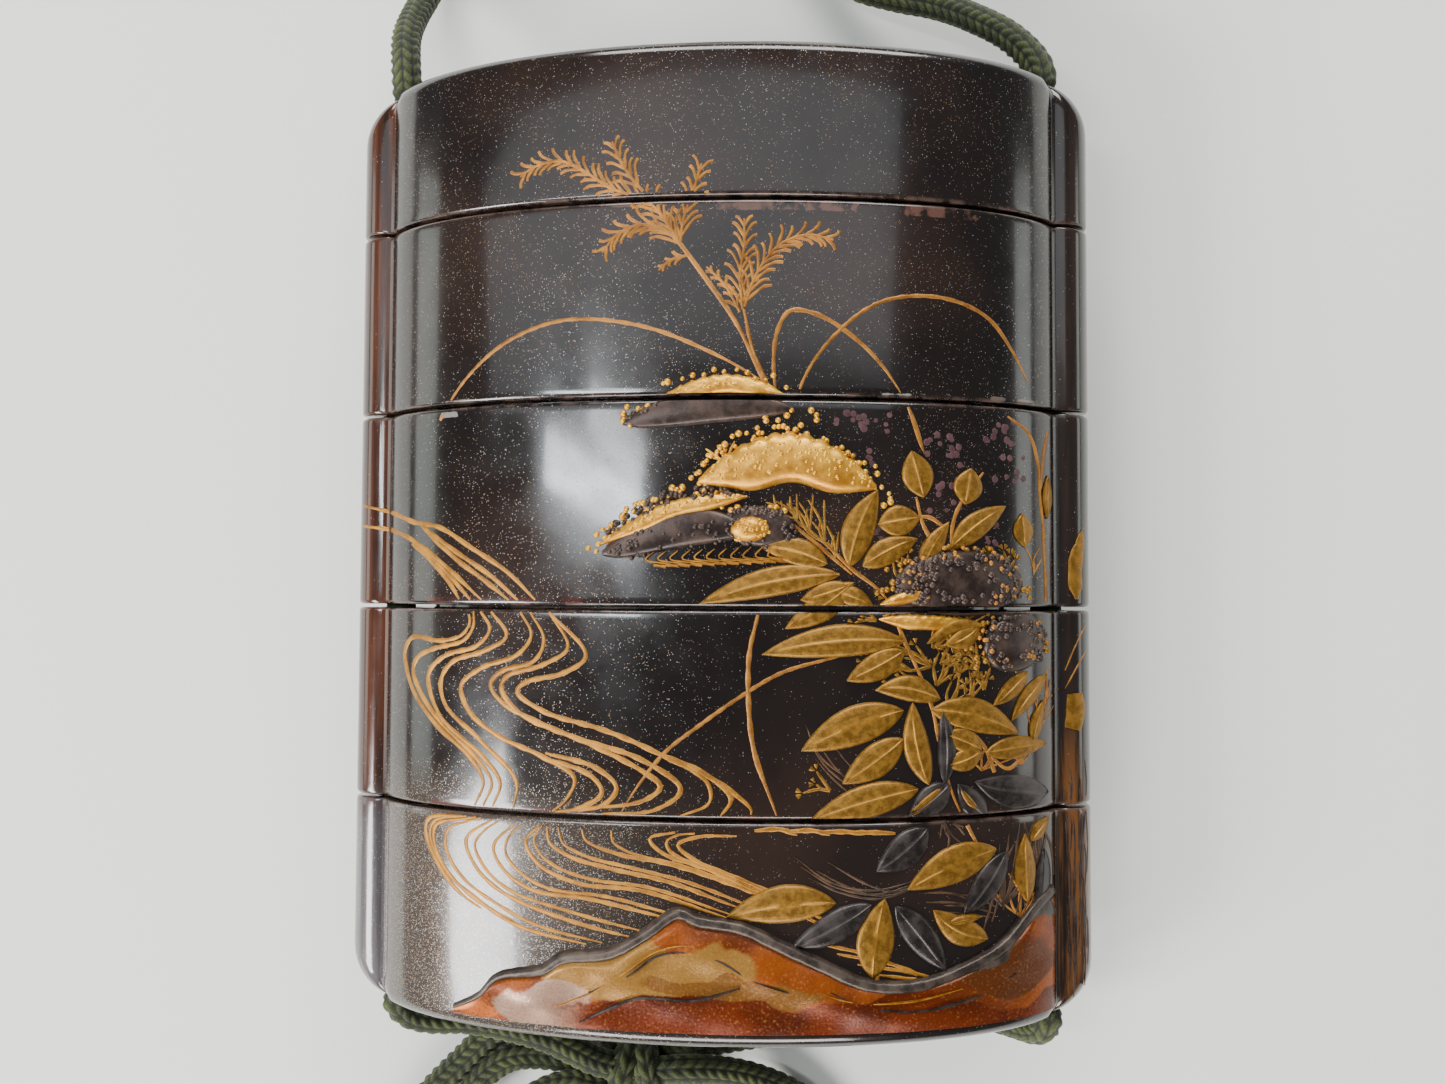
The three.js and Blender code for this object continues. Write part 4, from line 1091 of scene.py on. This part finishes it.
stems.ribbon([(4.5, 10.6), (3.4, 13), (1.9, 16), (-0.3, 19.2), (-2.2, 21.8)], 0.34, taper=(1, 0.9))
stems.ribbon([(4.5, 10.8), (3.2, 14), (2.6, 16.8)], 0.28, taper=(1, 0.9))
for points, reach in PLUMES:
    plume(points, reach)

# Leaves: tip, base, width and bend, with every width widened a little
LEAF_GROWTH = 1.16
GOLD_LEAVES = [
    ((12.5, 3.5), (10.4, -2.2), 2.1, 0.3), ((15.5, -0.1), (11.4, -2.2), 1.7, 0.2),
    ((22.4, 2.5), (18, -0.8), 1.7, 0.2), ((17.9, 1.2), (15.7, -2.9), 1.4, 0.2),
    ((3.9, -0.8), (8.8, -2), 1.8, -0.3), ((-0.6, -5), (9.7, -2.8), 1.9, -0.5),
    ((6.8, -4.7), (10.4, -3.6), 1.5, 0.1), ((4, -8.7), (14.5, -7.7), 2.1, -0.5),
    ((10.2, -10.6), (14.5, -8.4), 1.8, 0.1), ((12.3, -11.3), (17.2, -12), 1.7, -0.5),
    ((6.9, -15.7), (14.4, -12.8), 2.5, -0.3), ((23.4, -14.8), (16.5, -12.8), 2.2, 0.5),
    ((9.9, -18.1), (14.4, -14.9), 2.1, 0.1), ((21.3, -12.6), (24.2, -10.1), 1.2, 0.1),
    ((22.8, -13.8), (25.9, -10.4), 1.2, -0.1), ((25.9, -15.7), (20.7, -16.1), 1.5, 0.1),
    ((1.5, -27.7), (9.4, -26.7), 2.4, -0.4), ((13, -26.5), (12.1, -32.2), 2.4, 0.2),
    ((14.7, -25.9), (21.5, -23.3), 2.4, -0.3), ((23.9, -22.4), (24.1, -27.6), 1.6, 0.1),
    ((16.6, -27.5), (20.8, -29.9), 1.8, 0.4), ((25.6, -12.4), (24.6, -15.6), 1, 0.1),
    ((26, -21.4), (24.4, -23), 1.1, 0), ((17.3, -14.6), (20.4, -15.9), 1.6, -0.2),
    ((17.5, -16.9), (20.4, -15.9), 1.5, 0.2), ((5.7, -6.8), (10.7, -3.4), 1.8, 0.2),
    ((12.2, -5.2), (9.2, -4.1), 1.3, 0.2), ((17.5, -8), (20.2, -6.6), 1.4, 0.3),
    ((14.8, -20.6), (17.4, -18.6), 1.2, 0.1),
]
for tip, base, width, bend in GOLD_LEAVES:
    leaves.leaf(tip, base, width * LEAF_GROWTH, bend)
# Round leaves: middle, length, width and turn in degrees
ROUND_LEAVES = [
    (15.5, 4.7, 3.6, 2.4, 105), (19.4, 3.9, 2.8, 2.3, 80), (14.1, 1.2, 3.2, 2.4, 10),
    (23.9, 0.7, 2.6, 1.7, 95), (26.1, 3.4, 3.4, 1.0, 88),
]
for x, y, wide, tall, turn in ROUND_LEAVES:
    cos, sin = math.cos(math.radians(turn)) * wide / 2, math.sin(math.radians(turn)) * wide / 2
    leaves.leaf((x + cos, y + sin), (x - cos, y - sin), tall, 0.0, 0.35, 0.95)
leaves.leaf((15.1, -12.2), (16.3, -18.3), 2, 0.35, 0.5)
leaves.leaf((7.5, -20.8), (15.5, -18.6), 2.5, -0.25, 0.45)
PEWTER_LEAVES = [
    ((19.8, -18.2), (26, -19.5), 2.2, 0.3), ((14.8, -20.6), (17.9, -18.3), 1.9, 0.1),
    ((18.5, -18.3), (20.7, -20.9), 1.6, 0.1), ((6.2, -29.9), (12, -26.9), 2, 0.2),
    ((17.6, -32), (13.8, -27.1), 1.9, 0.1), ((12.4, -24.5), (16.2, -21.5), 2.2, 0.2),
    ((18.9, -28), (22.3, -23.6), 1.9, 0.2), ((17.3, -12.6), (17.5, -18.3), 1.3, -0.3),
    ((25, -29.4), (25.6, -23.8), 1.3, 0.1),
]
for tip, base, width, bend in PEWTER_LEAVES:
    dark_leaves.leaf(tip, base, width * LEAF_GROWTH, bend, 0.42)
SMALL_LEAVES = [
    ((14.9, -20.2), (17.4, -18.4)), ((18.6, -18.5), (20.3, -20.5)), ((20.4, -28.2), (17.4, -28.6)),
]
for tip, base in SMALL_LEAVES:
    leaves.leaf(tip, base, 0.8, 0.1, 0.5)

# Stems of the leaves
STALKS = [
    [(8.4, -0.3), (10.6, -2.4), (13, -4.4), (14.5, -7.7), (16.4, -12.1), (17.9, -18.5), (20.2, -23.3)],
    [(4.9, 1.9), (6.8, 0.4), (8.5, -1), (10.6, -2.8)],
    [(17.9, -2.6), (17, -0.9), (15.9, 1), (15.4, 3)],
    [(18.2, -1.2), (18.1, 0.4), (18.6, 2.2), (20.6, 5)],
    [(17.7, 0.6), (16.4, 1.5), (14.8, 1.4)],
    [(25.8, 0.2), (25.4, 3.4), (25.2, 6), (24.4, 8.2), (22.6, 9.4)],
    [(25.4, 4), (25.8, 7), (26.2, 8.6)],
    [(25.9, -5), (25.8, -1.6), (25.6, 1)],
    [(20.8, -16), (22.6, -17.4), (25.6, -13), (26, -10)],
    [(21.4, -17.6), (20.8, -16), (20, -14.8)],
    [(12.4, -33), (12.6, -29.6), (13, -27)],
]
for stalk in STALKS:
    stems.ribbon(stalk, 0.3, 0.08, (1, 0.5))


def tuft(target, x, y, aim, spread, length, count, width, buds=False):
    """Thin twigs that fan out from one place, with or without a pair of buds at each end."""
    for i in range(count):
        angle = math.radians(aim + spread * ((i + 0.5) / count - 0.5) * 2)
        far = length * (0.75 + 0.25 * math.sin(i * 2.7 + x))
        cos, sin = math.cos(angle), math.sin(angle)
        curl = 0.14 * far * math.sin(i * 1.9)
        middle = (x + cos * far * 0.5 - sin * curl, y + sin * far * 0.5 + cos * curl)
        end = (x + cos * far, y + sin * far)
        target.ribbon([(x, y), middle, end], width, 0.06, (1, 0.6), 0.25)
        if buds:
            for turn in (-0.5, 0.5):
                tip = (end[0] + 0.55 * math.cos(angle + turn), end[1] + 0.55 * math.sin(angle + turn))
                halfway = ((end[0] + tip[0]) / 2, (end[1] + tip[1]) / 2)
                target.ribbon([end, halfway, tip], width * 1.5, 0.09, (1, 1.3), 0.15)


# Twigs: place, aim and spread in degrees, length, count and line width
PLAIN_TWIGS = [
    (8.6, -0.5, 116, 30, 3.4, 6, 0.2), (7.5, 0.5, 112, 34, 2.6, 5, 0.2), (6.6, 1.3, 126, 42, 2.2, 5, 0.2),
    (5.6, 1.7, 128, 30, 1.6, 4, 0.2), (9.4, -1.6, 100, 22, 2.6, 4, 0.2),
]
BUDDED_TWIGS = [
    (16.6, -8.2, 40, 40, 2.4, 5, 0.2), (17.2, -9.4, 30, 40, 3.2, 6, 0.2),
    (16.9, -11, 65, 40, 2.8, 6, 0.2), (17.8, -12.6, 58, 30, 2.8, 5, 0.2),
    (14.9, -9.8, 168, 28, 2.8, 4, 0.2), (14, -7.9, 186, 20, 2.8, 4, 0.2),
    (15.6, -11, 160, 25, 2.4, 3, 0.2), (20.2, -9.8, 130, 40, 2, 5, 0.2), (12.9, -5.9, 20, 40, 2, 4, 0.2),
    (19.4, -12.2, 75, 35, 2.4, 5, 0.2), (18.6, -10.4, 95, 30, 2.2, 4, 0.2),
    (13.2, -8.9, 205, 20, 2, 3, 0.2), (18.4, -15.6, 70, 60, 2, 6, 0.2),
    (15.7, -6.2, 125, 45, 3.1, 6, 0.24), (17.9, -7.9, 75, 52, 3.2, 7, 0.24),
    (18.2, -8.6, 60, 30, 3.8, 5, 0.22), (16.5, -9.6, 150, 30, 3.4, 5, 0.24),
    (15.2, -8.6, 172, 20, 4.2, 4, 0.24), (12.4, -6.2, 160, 35, 1.6, 4, 0.22),
    (20.6, -11.4, 100, 35, 1.7, 4, 0.22), (14.4, -3.4, 80, 45, 2.2, 5, 0.24),
    (22.4, -3, 95, 40, 2.4, 5, 0.24), (9, -18.6, 155, 45, 2, 3, 0.24),
]
COPPER_TWIGS = [
    (24.8, -2.6, 85, 35, 2.2, 4, 0.13), (24.4, -8.2, 95, 38, 1.9, 9, 0.12),
    (24.8, -15, 75, 30, 4.4, 8, 0.13), (23.6, -17.2, 95, 55, 2.4, 7, 0.13),
    (20.4, -17.4, 70, 60, 2.6, 8, 0.15), (23.5, -28.6, 80, 60, 3.6, 9, 0.16),
]
DARK_TUFTS = [
    (17.4, -21, -60, 50, 2.6, 6, 0.16), (24.9, -21.4, -95, 28, 7, 8, 0.2),
    (22, -27.6, 78, 50, 4.6, 9, 0.22), (24.8, -26.4, 88, 16, 5.6, 6, 0.24),
]
for row in PLAIN_TWIGS:
    tuft(leaves, *row)
for row in BUDDED_TWIGS:
    tuft(leaves, *row, buds=True)
for row in COPPER_TWIGS:
    tuft(stems, *row)
for row in DARK_TUFTS:
    tuft(blades, *row)
tuft(beads, 1.2, 5.4, 112, 55, 1.8, 7, 0.2)
for turn, rise in ((0, 0), (0.5, 0.7), (1.1, 1.5), (1.8, 1.0), (2.6, 0.3)):
    low_left = [(6.4 + 0.9 * turn, -23.4 - rise), (9 + turn, -25.2 - rise * 0.6),
                (12.2 + 0.6 * turn, -25.9 - rise * 0.4), (15.6 + 0.3 * turn, -25.2 - rise * 0.2)]
    blades.ribbon(low_left, 0.17, 0.06, (0.4, 0.3))
    middle = [(15.6 + turn, -26.2 - rise), (18.2 + 0.6 * turn, -26.4 - rise),
              (20.6 + 0.4 * turn, -27.6 - rise * 0.5)]
    blades.ribbon(middle, 0.17, 0.06, (0.4, 0.3))
    upper = [(7.2 + 0.6 * turn, -13.8 - rise * 1.6), (8.2 + 0.7 * turn, -16 - rise),
             (10 + 0.7 * turn, -17.6 - rise)]
    blades.ribbon(upper, 0.15, 0.05, (0.3, 0.4))
    right = [(20.4 + 1.5 * turn, -29.4 + rise), (21.4 + 1.4 * turn, -26.4 + rise),
             (21.8 + 1.5 * turn, -23 + rise)]
    blades.ribbon(right, 0.2, 0.07, (0.6, 0.3))

# Flower heads, with beads along their upper edges
# A head is its left and right end and its arch, and a full one its thickness and height too
UPPER_DARK = ((-6.4, 8.4), (6.2, 9.4), 0.7, 2.6, 0.5)
UPPER_GOLD = ((-3.6, 10.2), (6, 10.1), 0.9)
GREAT_GOLD = ((-0.7, 4.0), (12.4, 3.6), 1.6, 4.1, 0.95)
LEFT_DARK = ((-7.9, -1.3), (3.2, 0.4), 1.1, 3.2, 0.55)
LEFT_GOLD = ((-8, -0.6), (2.9, 2.9), 0.6)
SMALL_DOME = (3.1, 0.5, 3.2, 2, 0.85)
dark_heads.crescent(*UPPER_DARK)
heads.crescent(*UPPER_GOLD, 1.7, 0.6, knobs=0.3)
heads.crescent(*GREAT_GOLD, knobs=0.3, lean=0.2)
dark_heads.crescent(*LEFT_DARK)
heads.crescent(*LEFT_GOLD, 1.5, 0.7, knobs=0.3)
heads.mound(*SMALL_DOME, 3)
beads.dome_studs(*SMALL_DOME, 34, 0.15, 3)
dark_heads.mound(18.8, -3.4, 10, 5, 0.75, 0)
dark_heads.dome_studs(18.8, -3.4, 10.2, 5.2, 0.75, 150, 0.25, low=0.15)
stems.dome_studs(18.8, -3.2, 10.2, 5.2, 0.75, 56, 0.2, low=0.4)
dark_heads.dome_studs(23.2, -7.9, 5.4, 4.4, 0.7, 60, 0.24, low=0.15)
stems.dome_studs(23, -7.6, 5.6, 4.6, 0.7, 26, 0.2, low=0.45)
beads.studs(*GREAT_GOLD, 110, 0.17, 0.35, 1.1, lean=0.2)
beads.studs(*GREAT_GOLD, 60, 0.14, -0.4, 0.6, lean=0.2)
beads.studs(*UPPER_GOLD, 1.5, 0.55, 50, 0.17, 0, 1.2)
beads.studs(*LEFT_GOLD, 1.5, 0.7, 70, 0.17, 0, 1.3)
dark_heads.studs(*LEFT_GOLD, 1.9, 0.6, 60, 0.24, 0.5, 1.7)
dark_heads.studs(*UPPER_DARK, 50, 0.2, 0.6, 1.1)
dark_heads.studs(*LEFT_DARK, 50, 0.2, -1.05, 0.3)
dark_heads.mound(3.9, 0.7, 5.2, 3, 0.4, -8)
dark_heads.dome_studs(3.9, 0.7, 5.2, 3.1, 0.4, 60, 0.22, -8, low=0.35)
heads.crescent((12.7, -5.0), (18.4, -4.6), 0.5, 1.1, 0.6, knobs=0.2)
heads.crescent((12.6, -6.1), (19.4, -6.3), -0.2, 1.2, 0.4, knobs=0.2)
dark_heads.mound(23.2, -7.9, 5.4, 4.4, 0.7, 20)
leaves.crescent((16.2, -7.9), (20.6, -6.6), 0.7, 1.0, 0.4)
for i in range(13):
    x = -4 + 0.9 * i
    hook = [(x, -1.2 + 0.05 * i), (x - 0.6, -1.75 + 0.03 * i), (x + 1.4, -2.1 + 0.04 * i)]
    lines.ribbon(hook, 0.16, 0.3, (0.3, 0.3), 0.2)
    lines.ribbon([(x, -2.15 + 0.04 * i), (x + 0.9, -2.25 + 0.04 * i)], 0.3, 0.2, (1, 1), 0.25)


def bead_row(target, points, count, drift, radius=0.25):
    """Beads strewn along a line."""
    line = smooth_flat(points, 0.1)
    for i in range(count):
        x, y = line[int((i + 0.5) * len(line) / count)] + rng.normal(0, drift, 2)
        target.dot(float(x), float(y), radius * float(rng.uniform(0.7, 1.15)))


bead_row(beads, [(-6.6, 8.6), (-4.4, 10.9), (-1.2, 11.9), (2.4, 12.1), (6, 11.2)], 18, 0.18)
bead_row(beads, [(-6.4, 8.2), (-5.2, 9), (-3.4, 9.4)], 10, 0.2)
bead_row(beads, [(-1.4, 3.9), (0.6, 6.4), (5.6, 7.9), (10, 6.3), (12.8, 4.4)], 34, 0.2)
bead_row(beads, [(0.4, 5), (3.4, 6.6), (6.6, 6.9), (9.6, 5.7)], 26, 0.35, 0.19)
bead_row(beads, [(-9, -0.9), (-6.4, 1.8), (-3.6, 3), (-0.4, 3.4), (2.4, 3.6)], 34, 0.28)
bead_row(beads, [(2.8, 9.2), (6.8, 8.9), (8.4, 8.6)], 12, 0.35)
bead_row(beads, [(0.9, 2.2), (3.2, 2), (5.6, 1.8)], 10, 0.3)
head_edge = [(12.4, -4.2), (14.4, -2.2), (17.6, -0.9), (20.6, -1.1), (23.2, -2.8), (24.8, -4.6)]
bead_row(leaves, head_edge, 40, 0.22)
bead_row(leaves, [(14, -3.6), (16.6, -2), (20.4, -2.1), (22.6, -3.6)], 18, 0.4, 0.17)
bead_row(leaves, [(19.6, -8.4), (20.6, -6.6), (22.6, -5.7), (25, -6.4), (26, -8.4)], 26, 0.22)
bead_row(leaves, [(19.8, -9.8), (20.6, -9.2), (21.4, -7.8)], 9, 0.3)
bead_row(beads, [(12.6, 3.6), (13.4, 3.1), (12.9, 2.2)], 5, 0.2)

# Faint purple-brown flakes: middle, width and height of each field, and their count
FLAKE_HEIGHT = 0.025
FLAKE_FIELDS = [
    (11.6, 8.4, 4.4, 1.6, 16), (11, 5.2, 3.4, 2.6, 16), (17.4, 6.6, 3, 2.4, 14), (17.4, 3.2, 2.4, 2.4, 9),
    (21.8, 8.2, 3.4, 1.8, 12), (22.8, 5.4, 2.6, 2, 9), (13.4, 0.2, 3, 1.6, 9), (20.6, 0.2, 2.4, 1.8, 8),
]
for x, y, wide, tall, count in FLAKE_FIELDS:
    for _ in range(count):
        flake_x = float(x + rng.uniform(-wide, wide) / 2)
        flake_y = float(y + rng.uniform(-tall, tall) / 2)
        flakes.dot(flake_x, flake_y, float(rng.uniform(0.17, 0.3)))
flakes.points = [(x, y, min(z, float(surface_height(x)) + FLAKE_HEIGHT)) for x, y, z in flakes.points]

# Rocks along the base
CREST = [
    (-19.4, -35.6), (-17.3, -34.5), (-15.8, -33), (-12.1, -32.1), (-10.7, -31.2), (-7.1, -30.6),
    (-4.4, -29.1), (-2, -27.5), (-0.7, -28), (2.5, -28.5), (5.4, -29.8), (8.4, -31.2), (11.9, -32.7),
    (15.8, -32.8), (19.3, -31.8), (22.3, -30.4), (25.1, -27.8), (26.5, -27.1),
]
FOOT_Y = -36.15
crest = smooth_flat(CREST, 0.35)
share = np.linspace(0, 1, 24)[None, :]
crest_x, crest_y = crest[:, :1], np.maximum(crest[:, 1:], FOOT_Y + 0.2)
x = crest_x * np.ones_like(share)
y = crest_y + (FOOT_Y - crest_y) * share
rise = np.minimum(1, share * 9) * (1 - 0.75 * share ** 3)
folds = 0.14 * np.sin(x * 0.5 + y * 1.4) + 0.07 * np.sin(x * 1.3 - y * 0.9)
rocks.grid(x, y, 0.05 + (0.52 + folds) * rise, tone=share * np.ones_like(x))
rock_rim.ribbon(CREST, 0.95, 0.62, (0.3, 1), 0.35)
rock_rim.ribbon([(18.6, -32.6), (21.8, -31.4), (24.4, -29.4), (26.4, -28.2)], 1.9, 0.5, (0.3, 1), 0.35)
# Folds and highlights of the rocks: line, width and height
FOLDS = [
    ([(-9.3, -35.6), (-7.1, -34.5), (-4.8, -33.6), (-0.6, -33.6), (2.5, -32.7)], 0.3, 0.72),
    ([(-8.6, -33.4), (-5.6, -32), (-3.6, -30.6), (-1.6, -30.2), (0.6, -30.6), (3.6, -32.2), (6, -33)],
     0.22, 0.72),
    ([(8.6, -32.8), (11.4, -34), (15.2, -34.6), (19.6, -34), (23, -32.6)], 0.26, 0.66),
]
HIGHLIGHTS = [
    ([(-11, -34.6), (-8, -33.2), (-5.6, -31.6), (-3.6, -30.2), (-1.4, -29.7), (0.8, -30.2)], 0.16, 0.78),
    ([(6.6, -32.2), (10, -33.6), (14.6, -33.9), (18.8, -33.2)], 0.16, 0.72),
]
for line, width, height in FOLDS:
    dark_leaves.ribbon(line, width, height, (0.4, 0.4))
for line, width, height in HIGHLIGHTS:
    lines.ribbon(line, width, height, (0.3, 0.3))

# Bark-like streaks and gold on the right band
STREAKS = 46
BARK_LEFT, BARK_WIDTH = 27.45, 2.0
BARK_LOW, BARK_HEIGHT = -36, 15
for _ in range(STREAKS):
    x = BARK_LEFT + BARK_WIDTH * float(rng.random())
    low = BARK_LOW + BARK_HEIGHT * float(rng.random())
    streak = [(x, low), (x + 0.1, low + 2.2), (x - 0.05, low + 2 + 3 * float(rng.random()))]
    dark_heads.ribbon(streak, 0.14, 0.03, (0.4, 0.4), 0.5)
leaves.ribbon([(28.6, -4.6), (28.5, -2.2), (28.9, 0.1)], 1.2, 0.1, (0.2, 0.2))
leaves.ribbon([(28.3, -3), (28.8, -1), (29.1, 0.9)], 0.8, 0.1, (0.3, 0.2))
leaves.ribbon([(28.2, -14.8), (28.5, -13.4), (28.4, -12)], 1.6, 0.06, (0.8, 0.8))
stems.ribbon([(27.6, -10.2), (28.4, -8.4), (29.4, -6.6)], 0.12, 0.03, (0.5, 0.4), 0.4)
stems.ribbon([(27.6, -11.6), (28.6, -9.9), (29.4, -8.7)], 0.12, 0.03, (0.5, 0.4), 0.4)

for relief in (blades, lines, stems, leaves, dark_leaves, heads, dark_heads, beads, rocks, rock_rim, flakes):
    relief.make()
